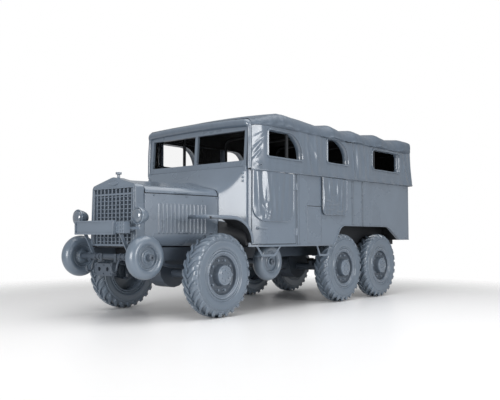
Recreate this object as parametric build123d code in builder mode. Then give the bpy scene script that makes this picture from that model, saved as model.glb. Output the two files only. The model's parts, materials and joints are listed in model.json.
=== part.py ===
from build123d import *
import math
import os

# Six-wheeled cross-country cargo truck with a canvas top, built piece by piece.
# Frame: +X forward, +Y to the truck's left, +Z up, in millimetres.
# The origin is on the floor, midway along the length and the width.

# Clearances
running = 0.3        # round the shafts and pins that turn
panel_gap = 8        # round doors, lids and the tailgate
pin_gap = 2          # beside the ears of a pin joint
hinge_air = 0.5      # between a hinge barrel and the panel beside it
facets = 24          # sides of turned pieces
bar_facets = 16      # sides of round bars

# Wheels
wheelbase = 3580     # rear axle to front axle
bogie_pitch = 1044   # between the two rear axles
track_half = 832     # centre plane of each tyre
tyre_r = 480         # over the lugs
tyre_root_r = 455
lug_count = 22       # on each half of the tread
lug_share = 0.55     # of the pitch, so that the halves lap in the middle
shoulder_drop = 3    # from the lug roots to the carcass
tyre_width = 230
tread_width = 170
tyre_bulge_r = 395
bead_width = 204
rim_r = 270
rim_width = 212
rim_wall = 24
dish_r = 216         # recess in the face of the wheel
dish_depth = 46
disc_wall = 20
hub_r = 103
hub_reach = 29       # hub cap beyond the rim's face
spindle_r = 40
spindle_length = 80
hub_stop = 5         # air between the spindle's tip and the end of its bore

# Guide rollers under the nose and the cab
roller_reach = 4441  # rear axle to the front rollers
roller_r = 240
roller_width = 160
roller_tread = 92
roller_rim_r = 136
roller_hub_r = 62
roller_hub_reach = 16
roller_tube_r = 33
roller_stub = 18
front_roller_y = 580
front_roller_z = 693
side_roller_gap = 290    # behind the front tyre
side_roller_inset = 225  # inside the body's face
side_roller_z = 605

# Overall stations along X, each measured from the rear axle
canvas_overhang = 930
rear_axle_x = (canvas_overhang - roller_reach - roller_r) / 2
middle_axle_x = rear_axle_x + bogie_pitch
front_axle_x = rear_axle_x + wheelbase
front_roller_x = rear_axle_x + roller_reach
side_roller_x = front_axle_x - tyre_r - side_roller_gap - roller_r
shell_front_x = rear_axle_x + 4420
bonnet_front_x = rear_axle_x + 4295
bonnet_rear_x = rear_axle_x + 3270
screen_base_x = rear_axle_x + 3117
cab_front_x = rear_axle_x + 3090
cab_bend_x = rear_axle_x + 2750
body_rear_x = rear_axle_x - 840
canvas_front_x = rear_axle_x + 3026
canvas_rear_x = rear_axle_x - canvas_overhang

# Axles, knuckles and springs
axle_z = tyre_r
axle_tube_r = 50
drum_r = 230         # differential casing
drum_width = 240
drum_rise = 55
drum_nose_r = 105
drum_nose = 100
kingpin_y = 760
kingpin_r = 22
boss_r = 34
boss_height = 160
ear_wall = 28
ear_length = 90
web_wall = 18
steer_room = 8       # between axle boss and knuckle web, and from web to hub
spring_y = 385
spring_width = 60
spring_pad_z = axle_z + 65
spring_half = 480
spring_depth = 46
spring_tip = 20
spring_camber = 55

# Chassis
rail_y = 385
rail_width = 60
rail_depth = 150
rail_wall = 12
body_floor_z = 795   # underside of the body, top of the rails
rail_front_x = rear_axle_x + 4400
rail_rear_x = rear_axle_x - 750
rail_bottom_z = body_floor_z - rail_depth
cross_width = 60
radiator_z = 810

# Body
body_half = 985
cab_front_half = 885
body_wall = 35
floor_wall = 25
rear_skirt_z = 868
hem_z = 1745         # canvas hem above the middle of the load space
hem_slope = 0.008    # rise of the hem towards the rear
arch_front_x = rear_axle_x + 1390
arch_rear_x = rear_axle_x - 504
arch_top_z = 1070
arch_top_front_x = rear_axle_x + 1195
arch_top_rear_x = rear_axle_x - 150
arch_round = 150
wheelhouse_y = 690
wheelhouse_wall = 15
wheelhouse_room = 50  # ahead of the arch's front foot
roller_well_room = 20
side_roller_y = body_half - side_roller_inset

# Doors and tailgate
door_rear_x = rear_axle_x + 2270
door_front_x = rear_axle_x + 3050
door_sill_z = 830
door_top_z = 1722
hinge_r = 10
hinge_length = 90
hinge_leaf = 7
hinge_heights = (980, 1560)
tailgate_top_z = 1735
tailgate_sill_z = 905

# Canvas top
canvas_proud = 17    # outside the body's panels
canvas_wall = 45
crease_z = 2285
eave_rise = 200      # height of the roof's edge above the crease
eave_r = 165
eave_turns = (0, 30, 60, 90)  # chords of the rounded edge
roof_crown = 40
front_eave_rise = 80
front_eave_r = 70
header_rise = 66     # roll of canvas over the windscreen
header_set_back = 20
bow_wall = 22
bow_width = 40
bow_foot = 145
flap_wall = 14

# Nose
shell_bottom_half = 410
shell_shoulder_half = 385
shell_shoulder_z = 1498
shell_peak_z = 1596
shoulder_round = 55
peak_round = 150
grille_half = 347
grille_bottom_z = 835
grille_top_z = 1460
grille_recess = 60
grille_bars = 10
grille_bar_width = 22
grille_plate = 8
bonnet_rear_half = 550
bonnet_line_z = 1405
bonnet_wall = 15
bonnet_tuck = 60     # inward curve of the side panel's foot
bonnet_tuck_z = 930
lid_shoulder_rise = 90
lid_shoulder_run = 80
lid_crown_front_z = 1572
lid_crown_rear_z = 1590

# Windscreen
screen_base_z = 1768.5
screen_height = 549
screen_lean = 4.0    # degrees
screen_half = 870
screen_bar = 42
screen_depth = 40
glass_wall = 5

# Fenders
fender_in_y = 660
fender_top_z = 1160
fender_front_x = rear_axle_x + 3880
fender_bend_x = rear_axle_x + 3360
fender_foot_x = cab_front_x + 4
fender_foot_z = 845
fender_wall = 8
fender_lip = 40

sides = {"left": 1, "right": -1}
facing = {1: 0, -1: 180}   # turn about the upright axis of a piece made for the left side
axle_stations = {"front": front_axle_x, "middle": middle_axle_x, "rear": rear_axle_x}
os.makedirs("parts", exist_ok=True)


def side_plane(y):
    """Plane parallel to the truck's side at y: local x runs forward, local y runs up."""
    return Plane(origin=(0, y, 0), x_dir=(1, 0, 0), z_dir=(0, -1, 0))


def section_plane(x):
    """Plane across the truck at x: local x runs to the left, local y runs up."""
    return Plane(origin=(x, 0, 0), x_dir=(0, 1, 0), z_dir=(1, 0, 0))


def block(x, y, z, mode=Mode.ADD):
    """Box between two bounds on each axis, for use inside a BuildPart block."""
    place = ((x[0] + x[1]) / 2, (y[0] + y[1]) / 2, (z[0] + z[1]) / 2)
    with Locations(place):
        Box(abs(x[1] - x[0]), abs(y[1] - y[0]), abs(z[1] - z[0]), mode=mode)


def rod(start, end, radius, mode=Mode.ADD):
    """Round bar from one point to another; as a cut, its flats clear a bar of its radius."""
    run = Vector(*end) - Vector(*start)
    with BuildSketch(Plane(origin=start, z_dir=run)) as end_face:
        RegularPolygon(radius, bar_facets, major_radius=mode == Mode.ADD)
    extrude(end_face.sketch, amount=run.length, mode=mode)


def polar(radius, turn):
    """Point at a radius and a turn in degrees from the local y axis."""
    angle = math.radians(turn)
    return (radius * math.sin(angle), radius * math.cos(angle))


def turned(centre, axis, profile, closed=True):
    """Solid turned in flats from (reach, radius) points; a closed profile leaves a bore through it."""
    place = Plane(origin=centre, z_dir=axis)
    rings = []
    for reach, radius in profile:
        corners = [polar(radius, 360 * corner / facets) for corner in range(facets)]
        rings.append([place.from_local_coords((*corner, reach)) for corner in corners])
    flats = [] if closed else [rings[0], rings[-1]]
    following = rings[1:] + rings[:1] if closed else rings[1:]
    for ring, after in zip(rings, following):
        flats += [[ring[k - 1], ring[k], after[k], after[k - 1]] for k in range(facets)]
    return Solid(Shell([Face(Wire.make_polygon(flat)) for flat in flats]))


# Tyres: leaning sidewalls, and a tread of two rings of lugs that stand half a pitch apart
rim_face_y = track_half + rim_width / 2
rim_back_y = track_half - rim_width / 2
tyre_seat_r = rim_r + running
lug_turn = 360 / lug_count
tread_half = tread_width / 2
carcass_half = [
    (bead_width / 2, tyre_seat_r),
    (tyre_width / 2, tyre_bulge_r),
    (tread_half, tyre_root_r - shoulder_drop),
]
carcass_profile = [(track_half + reach, radius) for reach, radius in carcass_half]
carcass_profile += [(track_half - reach, radius) for reach, radius in reversed(carcass_half)]


def lug_ring(reach, first):
    """Half of the tread: lugs from the middle of the tyre to one shoulder."""
    middle = Plane(origin=(0, track_half, axle_z), x_dir=(1, 0, 0), z_dir=(0, -1, 0))
    with BuildSketch(middle) as ring:
        with BuildLine() as outline:
            points = []
            for lug in range(lug_count):
                turn = first + lug * lug_turn
                lug_end = turn + lug_share * lug_turn
                points += [polar(tyre_r, turn), polar(tyre_r, lug_end)]
                points += [polar(tyre_root_r, lug_end), polar(tyre_root_r, turn + lug_turn)]
            Polyline(*points, close=True)
        make_face(outline.edges())
        RegularPolygon(tyre_bulge_r, facets, mode=Mode.SUBTRACT)
    extrude(ring.sketch, amount=reach)


hub_axis = (0, 1, 0)
wheel_centre = (0, 0, axle_z)
with BuildPart() as tyre_form:
    add(turned(wheel_centre, hub_axis, carcass_profile))
    lug_ring(tread_half, 180)
    lug_ring(-tread_half, 180 - lug_turn / 2)

# Wheels: rim, dished disc and hub with a blind bore for the spindle
web_in_y = kingpin_y + boss_r + steer_room
web_out_y = web_in_y + web_wall
hub_back_y = web_out_y + steer_room
spindle_tip_y = web_out_y + spindle_length
bore_end_y = spindle_tip_y + hub_stop
flat_share = math.cos(math.pi / facets)   # of the radius, from the axis to the middle of a flat
bore_r = (spindle_r + running) / flat_share
dish_y = rim_face_y - dish_depth
disc_back_y = dish_y - disc_wall
back_r = rim_r - rim_wall
wheel_profile = [
    (rim_face_y + hub_reach, hub_r),
    (rim_face_y, hub_r),
    (dish_y, hub_r + dish_depth),
    (dish_y, dish_r),
    (rim_face_y, back_r),
    (rim_face_y, rim_r),
    (rim_back_y, rim_r),
    (rim_back_y, back_r),
    (disc_back_y, back_r),
    (disc_back_y, hub_r),
    (hub_back_y, 2 * spindle_r),
    (hub_back_y, bore_r),
    (bore_end_y, bore_r),
]
with BuildPart() as wheel_form:
    add(turned(wheel_centre, hub_axis, wheel_profile, closed=False))

for axle, axle_x in axle_stations.items():
    for hand, side in sides.items():
        place = Location((axle_x, 0, 0), (0, 0, facing[side]))
        for kind, form in (("tyre", tyre_form), ("wheel", wheel_form)):
            piece = form.part.moved(place)
            piece.label = f"{kind}_{axle}_{hand}"
            export_step(piece, f"parts/{kind}_{axle}_{hand}.step")

# Guide rollers: fat smooth tyre on a small dished rim, turning on a cross tube
roller_bore_r = (roller_tube_r + running) / flat_share
roller_sites = {
    "front": (front_roller_x, front_roller_y, front_roller_z),
    "side": (side_roller_x, side_roller_y, side_roller_z),
}
shoulder_y = roller_tread / 2
bulge_y = roller_width / 2
bulge_r = (roller_r + roller_rim_r) / 2 - 12
dish = roller_width / 5
roller_profile = [
    (roller_hub_r, roller_bore_r),
    (roller_hub_r, roller_hub_r),
    (dish, roller_hub_r + roller_hub_reach),
    (dish, roller_rim_r - roller_hub_reach),
    (roller_hub_r, roller_rim_r),
    (bulge_y, bulge_r),
    (shoulder_y, roller_r),
    (-shoulder_y, roller_r),
    (-bulge_y, bulge_r),
    (-roller_hub_r, roller_rim_r),
    (-roller_hub_r, roller_bore_r),
]
with BuildPart() as roller_form:
    add(turned((0, 0, 0), hub_axis, roller_profile))

for row, (roller_x, roller_y, roller_z) in roller_sites.items():
    for hand, side in sides.items():
        roller = roller_form.part.moved(Location((roller_x, side * roller_y, roller_z), (0, 0, facing[side])))
        roller.label = f"roller_{row}_{hand}"
        export_step(roller, f"parts/roller_{row}_{hand}.step")

# Cross tubes of the rollers, with the brackets that hold them to the rails
collar_stations = (190, 260)
collar_width = 30
collar_wall = 9
bracket_rise = 15
hanger_half = 45
with BuildPart() as roller_axles:
    for roller_x, roller_y, roller_z in roller_sites.values():
        reach = roller_y + roller_hub_r + roller_stub
        rod((roller_x, -reach, roller_z), (roller_x, reach, roller_z), roller_tube_r)
    for side in sides.values():
        rail_span = (side * (rail_y - rail_width / 2), side * (rail_y + rail_width / 2))
        bracket_z = (rail_bottom_z, front_roller_z + roller_tube_r + bracket_rise)
        block((rail_front_x, front_roller_x + roller_tube_r / 2), rail_span, bracket_z)
        hanger_x = (side_roller_x - hanger_half, side_roller_x + hanger_half)
        block(hanger_x, rail_span, (side_roller_z, rail_bottom_z))
        for collar_y in collar_stations:
            start = (front_roller_x, side * collar_y - collar_width / 2, front_roller_z)
            end = (front_roller_x, side * collar_y + collar_width / 2, front_roller_z)
            rod(start, end, roller_tube_r + collar_wall)
roller_axles.part.label = "roller_axles"
export_step(roller_axles.part, "parts/roller_axles.step")

# Tow bracket: straps over the front tube and a block with two bores
tow_half = 158
tow_front_x = rear_axle_x + 4545
tow_depth = 60
tow_z = (482, 620)
tow_bore_y = 72.5
tow_bore_z = 557
tow_bore_r = 23.5
strap_y = 128
strap_width = 34
strap_wall = 12
with BuildPart() as tow_bracket:
    block((tow_front_x - tow_depth, tow_front_x), (-tow_half, tow_half), tow_z)
    with BuildSketch(section_plane(tow_front_x)):
        with Locations((-tow_bore_y, tow_bore_z), (tow_bore_y, tow_bore_z)):
            Circle(tow_bore_r)
    extrude(amount=-tow_depth, mode=Mode.SUBTRACT)
    for side in sides.values():
        strap_x = front_roller_x + roller_tube_r + running
        y = (side * strap_y - strap_width / 2, side * strap_y + strap_width / 2)
        block((strap_x, strap_x + strap_wall), y, (tow_z[1] - 5, front_roller_z + roller_tube_r))
        block((strap_x, tow_front_x - 10), y, (tow_z[1] - 5, tow_z[1] + strap_wall))
tow_bracket.part.label = "tow_bracket"
export_step(tow_bracket.part, "parts/tow_bracket.step")


def axle_casing(x, nose):
    """Axle tube, differential casing with its pinion nose, and spring pads."""
    tube_half = kingpin_y - boss_r + steer_room
    rod((x, -tube_half, axle_z), (x, tube_half, axle_z), axle_tube_r)
    drum_z = axle_z + drum_rise
    rod((x, -drum_width / 2, drum_z), (x, drum_width / 2, drum_z), drum_r)
    rod((x, 0, drum_z), (x + nose * (drum_r + drum_nose), 0, drum_z), drum_nose_r)
    for side in sides.values():
        pad_y = (side * (spring_y - spring_width / 2), side * (spring_y + spring_width / 2))
        block((x - axle_tube_r, x + axle_tube_r), pad_y, (axle_z, spring_pad_z))


# Front axle: bosses for the kingpins at its ends
with BuildPart() as front_axle:
    axle_casing(front_axle_x, -1)
    for side in sides.values():
        low = (front_axle_x, side * kingpin_y, axle_z - boss_height / 2)
        high = (front_axle_x, side * kingpin_y, axle_z + boss_height / 2)
        rod(low, high, boss_r)
        rod(low, high, kingpin_r + running, mode=Mode.SUBTRACT)
front_axle.part.label = "front_axle"
export_step(front_axle.part, "parts/front_axle.step")

# Rear axles: stub spindles run straight into the hubs
with BuildPart() as rear_axles:
    for axle_x, nose in ((middle_axle_x, 1), (rear_axle_x, -1)):
        axle_casing(axle_x, nose)
        for side in sides.values():
            rod((axle_x, 0, axle_z), (axle_x, side * spindle_tip_y, axle_z), spindle_r)
rear_axles.part.label = "rear_axles"
export_step(rear_axles.part, "parts/rear_axles.step")

# Steering knuckles: ears above and below the boss, kingpin, web and spindle
for hand, side in sides.items():
    with BuildPart() as knuckle:
        ear_x = (front_axle_x - ear_length / 2, front_axle_x + ear_length / 2)
        ear_y = (side * (kingpin_y - boss_r), side * web_out_y)
        ear_low = boss_height / 2 + pin_gap
        for up in (1, -1):
            block(ear_x, ear_y, (axle_z + up * ear_low, axle_z + up * (ear_low + ear_wall)))
        reach = ear_low + ear_wall
        block(ear_x, (side * web_in_y, side * web_out_y), (axle_z - reach, axle_z + reach))
        pin_low = (front_axle_x, side * kingpin_y, axle_z - reach)
        rod(pin_low, (front_axle_x, side * kingpin_y, axle_z + reach), kingpin_r)
        spindle_start = (front_axle_x, side * web_in_y, axle_z)
        rod(spindle_start, (front_axle_x, side * spindle_tip_y, axle_z), spindle_r)
    knuckle.part.label = f"knuckle_{hand}"
    export_step(knuckle.part, f"parts/knuckle_{hand}.step")

# Leaf springs: front packs arch up to hangers, rear packs span both axles
bogie_x = (middle_axle_x + rear_axle_x) / 2
bogie_span = bogie_pitch / 2
trunnion_half = 70
with BuildPart() as leaf_springs:
    for side in sides.values():
        low_z = spring_pad_z
        top_z = spring_pad_z + spring_depth
        tip_z = spring_pad_z + spring_camber
        with BuildSketch(side_plane(side * spring_y)):
            for end in (1, -1):
                pad_x = front_axle_x + end * axle_tube_r
                tip_x = front_axle_x + end * spring_half
                with BuildLine():
                    Line((front_axle_x, top_z), (front_axle_x, low_z))
                    Line((front_axle_x, low_z), (pad_x, low_z))
                    TangentArc((pad_x, low_z), (tip_x, tip_z), tangent=(end, 0))
                    Line((tip_x, tip_z), (tip_x, tip_z + spring_tip))
                    TangentArc((pad_x, top_z), (tip_x, tip_z + spring_tip), tangent=(end, 0))
                    Line((pad_x, top_z), (front_axle_x, top_z))
                make_face()
            for end in (1, -1):
                pad_x = bogie_x + end * (bogie_span - axle_tube_r)
                tip_x = bogie_x + end * (bogie_span + axle_tube_r)
                with BuildLine():
                    Polyline(
                        (bogie_x, tip_z),
                        (bogie_x, low_z + spring_tip),
                        (pad_x, low_z),
                        (tip_x, low_z),
                        (tip_x, low_z + spring_tip),
                        (pad_x, low_z + spring_tip),
                        close=True,
                    )
                make_face()
        extrude(amount=spring_width / 2, both=True)
        y = (side * (spring_y - spring_width / 2), side * (spring_y + spring_width / 2))
        for end in (1, -1):
            tip_x = front_axle_x + end * spring_half
            block((tip_x - end * rail_width, tip_x), y, (tip_z, rail_bottom_z))
        block((bogie_x - trunnion_half, bogie_x + trunnion_half), y, (low_z + spring_tip, rail_bottom_z))
leaf_springs.part.label = "leaf_springs"
export_step(leaf_springs.part, "parts/leaf_springs.step")

# Chassis rails: channels that open inwards
with BuildPart() as chassis_rails:
    for side in sides.values():
        outer_y = side * (rail_y + rail_width / 2)
        inner_y = side * (rail_y - rail_width / 2)
        web_y = outer_y - side * rail_wall
        block((rail_rear_x, rail_front_x), (inner_y, outer_y), (rail_bottom_z, body_floor_z))
        hollow_z = (rail_bottom_z + rail_wall, body_floor_z - rail_wall)
        block((rail_rear_x, rail_front_x), (inner_y, web_y), hollow_z, mode=Mode.SUBTRACT)
chassis_rails.part.label = "chassis_rails"
export_step(chassis_rails.part, "parts/chassis_rails.step")

# Engine block with bell housing and gearbox
engine_rear_x = rear_axle_x + 3290
engine_front_x = rear_axle_x + 4100
engine_half = 220
engine_z = (780, 1290)
gearbox_x = (rear_axle_x + 2680, rear_axle_x + 3200)
gearbox_half = 150
gearbox_z = (500, 785)
bell_z = (690, 800)
with BuildPart() as engine_block:
    block((engine_rear_x, engine_front_x), (-engine_half, engine_half), engine_z)
    block((gearbox_x[1] - 20, engine_rear_x + 20), (-gearbox_half, gearbox_half), bell_z)
    block(gearbox_x, (-gearbox_half, gearbox_half), gearbox_z)
engine_block.part.label = "engine_block"
export_step(engine_block.part, "parts/engine_block.step")

# Cross members between the rails, gearbox mounts and the radiator's bearer
cross_y = rail_y + rail_width / 2 - rail_wall
cross_z = (rail_bottom_z + rail_wall, engine_z[0])
cross_stations = (rear_axle_x - 700, rear_axle_x + 492, rear_axle_x + 1900, rear_axle_x + 4000)
with BuildPart() as chassis_crossmembers:
    for cross_x in cross_stations:
        block((cross_x, cross_x + cross_width), (-cross_y, cross_y), cross_z)
    for side in sides.values():
        mount_x = (gearbox_x[0] + 220, gearbox_x[0] + 220 + cross_width)
        block(mount_x, (side * gearbox_half, side * cross_y), (cross_z[0], cross_z[0] + cross_width))
    bearer_y = rail_y + rail_width / 2
    block((bonnet_front_x + 10, rail_front_x), (-bearer_y, bearer_y), (body_floor_z, radiator_z))
chassis_crossmembers.part.label = "chassis_crossmembers"
export_step(chassis_crossmembers.part, "parts/chassis_crossmembers.step")

# Propeller shafts from the gearbox to the bogie and between its casings
shaft_r = 34
shaft_z = axle_z + drum_rise
nose_reach = drum_r + drum_nose
with BuildPart() as propeller_shafts:
    rod((gearbox_x[0], 0, shaft_z), (middle_axle_x + nose_reach, 0, shaft_z), shaft_r)
    casing_gap = drum_r + running
    rod((middle_axle_x - casing_gap, 0, shaft_z), (rear_axle_x + casing_gap, 0, shaft_z), shaft_r)
propeller_shafts.part.label = "propeller_shafts"
export_step(propeller_shafts.part, "parts/propeller_shafts.step")

# Plan of the body: straight sides that bend in towards the windscreen
bend_run = cab_front_x - cab_bend_x
bend_in = body_half - cab_front_half
bend_angle = 2 * math.degrees(math.atan2(bend_in, bend_run))
bend_r = bend_run / math.sin(math.radians(bend_angle))


def plan_half(inset, rear_x, side):
    """Half of the body's plan on one side, brought in by an inset, as a sketch face."""
    with BuildLine() as outline:
        rear = Line((rear_x, 0), (rear_x, side * (body_half - inset)))
        wall = Line(rear @ 1, (cab_bend_x, side * (body_half - inset)))
        bend = JernArc(wall @ 1, (1, 0), bend_r - inset, -side * bend_angle)
        front = Line(bend @ 1, ((bend @ 1).X, 0))
        Line(front @ 1, rear @ 0)
    make_face(outline.edges())


def wall_strip(outset, inset, rear_x, low_z, high_z, side):
    """Upright wall that follows the body's plan, from an outset to an inset of its face."""
    outer_y = side * (body_half + outset)
    inner_y = side * (body_half - inset)
    with BuildPart() as strip:
        with BuildSketch(Plane.XY.offset(low_z)):
            with BuildLine():
                outer = Line((rear_x, outer_y), (cab_bend_x, outer_y))
                outer_bend = JernArc(outer @ 1, (1, 0), bend_r + outset, -side * bend_angle)
                inner = Line((rear_x, inner_y), (cab_bend_x, inner_y))
                inner_bend = JernArc(inner @ 1, (1, 0), bend_r - inset, -side * bend_angle)
                Line(outer @ 0, inner @ 0)
                Line(outer_bend @ 1, inner_bend @ 1)
            make_face()
        extrude(amount=high_z - low_z)
    return strip.part


hem_plane = Plane(origin=(rear_axle_x + 1125, 0, hem_z), x_dir=(1, 0, -hem_slope), z_dir=(hem_slope, 0, 1))
far = 10 * body_half

# Body sides with wheel arch, door opening, stiffening strips and a cover plate
# rear station, front station, foot, head of each raised strip or plate
side_plates = (
    (866, 900, arch_top_z + 20, hem_z - 30),
    (608, 622, arch_top_z + 20, hem_z - 30),
    (1700, 2014, 843, 1320),
)
plate_rise = 5
with BuildPart() as body_sides:
    for side in sides.values():
        add(wall_strip(0, body_wall, body_rear_x, body_floor_z, hem_z + 2 * body_wall, side))
    split(bisect_by=hem_plane, keep=Keep.BOTTOM)
    with BuildSketch(side_plane(0)):
        with BuildLine():
            Polyline(
                (arch_front_x, body_floor_z),
                (arch_top_front_x, arch_top_z),
                (arch_top_rear_x, arch_top_z),
                (arch_rear_x, rear_skirt_z),
                (body_rear_x, rear_skirt_z),
                (body_rear_x, body_floor_z),
                close=True,
            )
        make_face()
        fillet(vertices().filter_by(lambda v: abs(v.Y - arch_top_z) < 1), arch_round)
    extrude(amount=2 * body_half, both=True, mode=Mode.SUBTRACT)
    for side in sides.values():
        for rear, front, low_z, high_z in side_plates:
            plate_y = (side * body_half, side * (body_half + plate_rise))
            block((rear_axle_x + rear, rear_axle_x + front), plate_y, (low_z, high_z))
    opening_x = (door_rear_x - panel_gap, door_front_x + panel_gap)
    block(opening_x, (-far, far), (door_sill_z - panel_gap, far), mode=Mode.SUBTRACT)
body_sides.part.label = "body_sides"
export_step(body_sides.part, "parts/body_sides.step")

# Floor with a raised load deck, and the wheelhouses that stand over the rear wheels
floor_top_z = body_floor_z + floor_wall
deck_stations = (-780, 2080)
deck_half = wheelhouse_y - 50
deck_wall = 5
with BuildPart() as body_floor:
    with BuildSketch(Plane.XY.offset(body_floor_z)):
        for side in sides.values():
            plan_half(body_wall, body_rear_x, side)
    extrude(amount=floor_top_z - body_floor_z)
    well_x = (arch_rear_x, arch_front_x + wheelhouse_room)
    house_x = (well_x[0] - wheelhouse_wall, well_x[1] + wheelhouse_wall)
    for side in sides.values():
        wall_y = side * (body_half - body_wall)
        house_y = (side * (wheelhouse_y - wheelhouse_wall), wall_y)
        block(house_x, house_y, (body_floor_z, arch_top_z + wheelhouse_wall))
        well_y = (side * wheelhouse_y, side * body_half)
        block(well_x, well_y, (0, arch_top_z), mode=Mode.SUBTRACT)
        pocket_x = (side_roller_x - roller_r - roller_well_room, side_roller_x + roller_r + roller_well_room)
        pocket_half = roller_width / 2 + roller_stub + roller_well_room
        pocket_y = (side * (side_roller_y - pocket_half), side * (side_roller_y + pocket_half))
        pocket_z = side_roller_z + roller_r + roller_well_room
        lining_x = (pocket_x[0] - wheelhouse_wall, pocket_x[1] + wheelhouse_wall)
        lining_y = (pocket_y[0] - side * wheelhouse_wall, pocket_y[1] + side * wheelhouse_wall)
        block(lining_x, lining_y, (body_floor_z, pocket_z + wheelhouse_wall))
        block(pocket_x, pocket_y, (0, pocket_z), mode=Mode.SUBTRACT)
        tail_x = (body_rear_x, arch_rear_x)
        block(tail_x, well_y, (0, rear_skirt_z), mode=Mode.SUBTRACT)
        tail_y = (side * (wheelhouse_y - wheelhouse_wall), wall_y)
        block(tail_x, tail_y, (rear_skirt_z, rear_skirt_z + floor_wall))
        block(tail_x, (tail_y[0], side * wheelhouse_y), (body_floor_z, rear_skirt_z + floor_wall))
    deck_x = (rear_axle_x + deck_stations[0], rear_axle_x + deck_stations[1])
    block(deck_x, (-deck_half, deck_half), (floor_top_z, floor_top_z + deck_wall))
    rear_bar = (body_rear_x, body_rear_x + body_wall)
    bar_y = body_half - body_wall
    block(rear_bar, (-bar_y, bar_y), (rear_skirt_z, tailgate_sill_z - panel_gap))
body_floor.part.label = "body_floor"
export_step(body_floor.part, "parts/body_floor.step")

# Doors hinged at their rear edge, with barrels outside the panel
hinge_x = door_rear_x - panel_gap
hinge_y = body_half + hinge_r + hinge_air
for hand, side in sides.items():
    with BuildPart() as door:
        add(wall_strip(0, body_wall, body_rear_x, door_sill_z, door_top_z, side))
        block((-far, door_rear_x), (0, side * far), (0, far), mode=Mode.SUBTRACT)
        block((door_front_x, far), (0, side * far), (0, far), mode=Mode.SUBTRACT)
        for height in hinge_heights:
            leaf_y = (side * body_half, side * (body_half + hinge_leaf))
            leaf_z = (height - hinge_length / 2, height + hinge_length / 2)
            block((door_rear_x, door_rear_x + 40), leaf_y, leaf_z)
            barrel_y = (side * (body_half + pin_gap), side * (body_half + hinge_leaf))
            block((hinge_x, door_rear_x + 1), barrel_y, leaf_z)
            rod((hinge_x, side * hinge_y, leaf_z[0]), (hinge_x, side * hinge_y, leaf_z[1]), hinge_r)
    door.part.label = f"door_{hand}"
    export_step(door.part, f"parts/door_{hand}.step")

# Tailgate between the side walls, hinged at its foot
gate_hinge_r = 6
gate_hinge_x = body_rear_x - gate_hinge_r - hinge_air
gate_hinge_z = tailgate_sill_z - panel_gap - gate_hinge_r
gate_hinge_stations = (-600, 0, 600)
with BuildPart() as tailgate:
    gate_y = body_half - body_wall - panel_gap
    gate_x = (body_rear_x, body_rear_x + body_wall)
    block(gate_x, (-gate_y, gate_y), (tailgate_sill_z, tailgate_top_z))
    for barrel_y in gate_hinge_stations:
        ends = (barrel_y - hinge_length / 2, barrel_y + hinge_length / 2)
        rod((gate_hinge_x, ends[0], gate_hinge_z), (gate_hinge_x, ends[1], gate_hinge_z), gate_hinge_r)
        leaf_x = (gate_hinge_x - gate_hinge_r, body_rear_x)
        block(leaf_x, ends, (tailgate_sill_z, tailgate_sill_z + 3 * panel_gap))
        block((leaf_x[0], gate_hinge_x), ends, (gate_hinge_z, tailgate_sill_z))
tailgate.part.label = "tailgate"
export_step(tailgate.part, "parts/tailgate.step")

# Canvas sides with their windows; each window has a square front and its own rear corner
# name: front station, rear station, sill, head, rounding at the rear head corner, other rounding
windows = {
    "cab": (2844, 2148, 1905, 2233, 300, 24),
    "middle": (1557, 1028, 1935, 2268, 300, 24),
    "rear": (348, -517, 1938, 2242, 70, 70),
}
with BuildPart() as canvas_sides:
    for side in sides.values():
        low_z = hem_z - 2 * body_wall
        wall_rear_x = canvas_rear_x + canvas_wall
        add(wall_strip(canvas_proud, canvas_wall - canvas_proud, wall_rear_x, low_z, crease_z, side))
    split(bisect_by=hem_plane, keep=Keep.TOP)
    block((canvas_front_x, far), (-far, far), (0, far), mode=Mode.SUBTRACT)
    for front, rear, sill, head, sweep_r, corner_r in windows.values():
        with BuildSketch(side_plane(0)):
            with BuildLine():
                Polyline(
                    (rear_axle_x + front, sill),
                    (rear_axle_x + front, head),
                    (rear_axle_x + rear, head),
                    (rear_axle_x + rear, sill),
                    close=True,
                )
            make_face()
            fillet(vertices().group_by(Axis.X)[0].sort_by(Axis.Y)[-1], sweep_r)
            sill_corners = vertices().group_by(Axis.Y)[0]
            front_head = vertices().group_by(Axis.X)[-1].sort_by(Axis.Y)[-1]
            fillet([*sill_corners, front_head], corner_r)
        extrude(amount=2 * body_half, both=True, mode=Mode.SUBTRACT)
canvas_sides.part.label = "canvas_sides"
export_step(canvas_sides.part, "parts/canvas_sides.step")


def roof_face(half, base_z, eave, crown, edge_r, inset):
    """Cross section under the roof: upright sides, rounded edges and a low crown."""
    eave_z = crease_z + eave - inset
    edge_y = half - inset
    radius = edge_r - inset
    turns = [math.radians(turn) for turn in eave_turns]
    eave_points = [(edge_y - radius * (1 - math.cos(t)), eave_z - radius * (1 - math.sin(t))) for t in turns]
    with BuildLine() as outline:
        Polyline(
            (edge_y, base_z),
            *eave_points,
            (0, eave_z + crown),
            *[(-y, z) for y, z in reversed(eave_points)],
            (-edge_y, base_z),
            close=True,
        )
    make_face(outline.edges())


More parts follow.
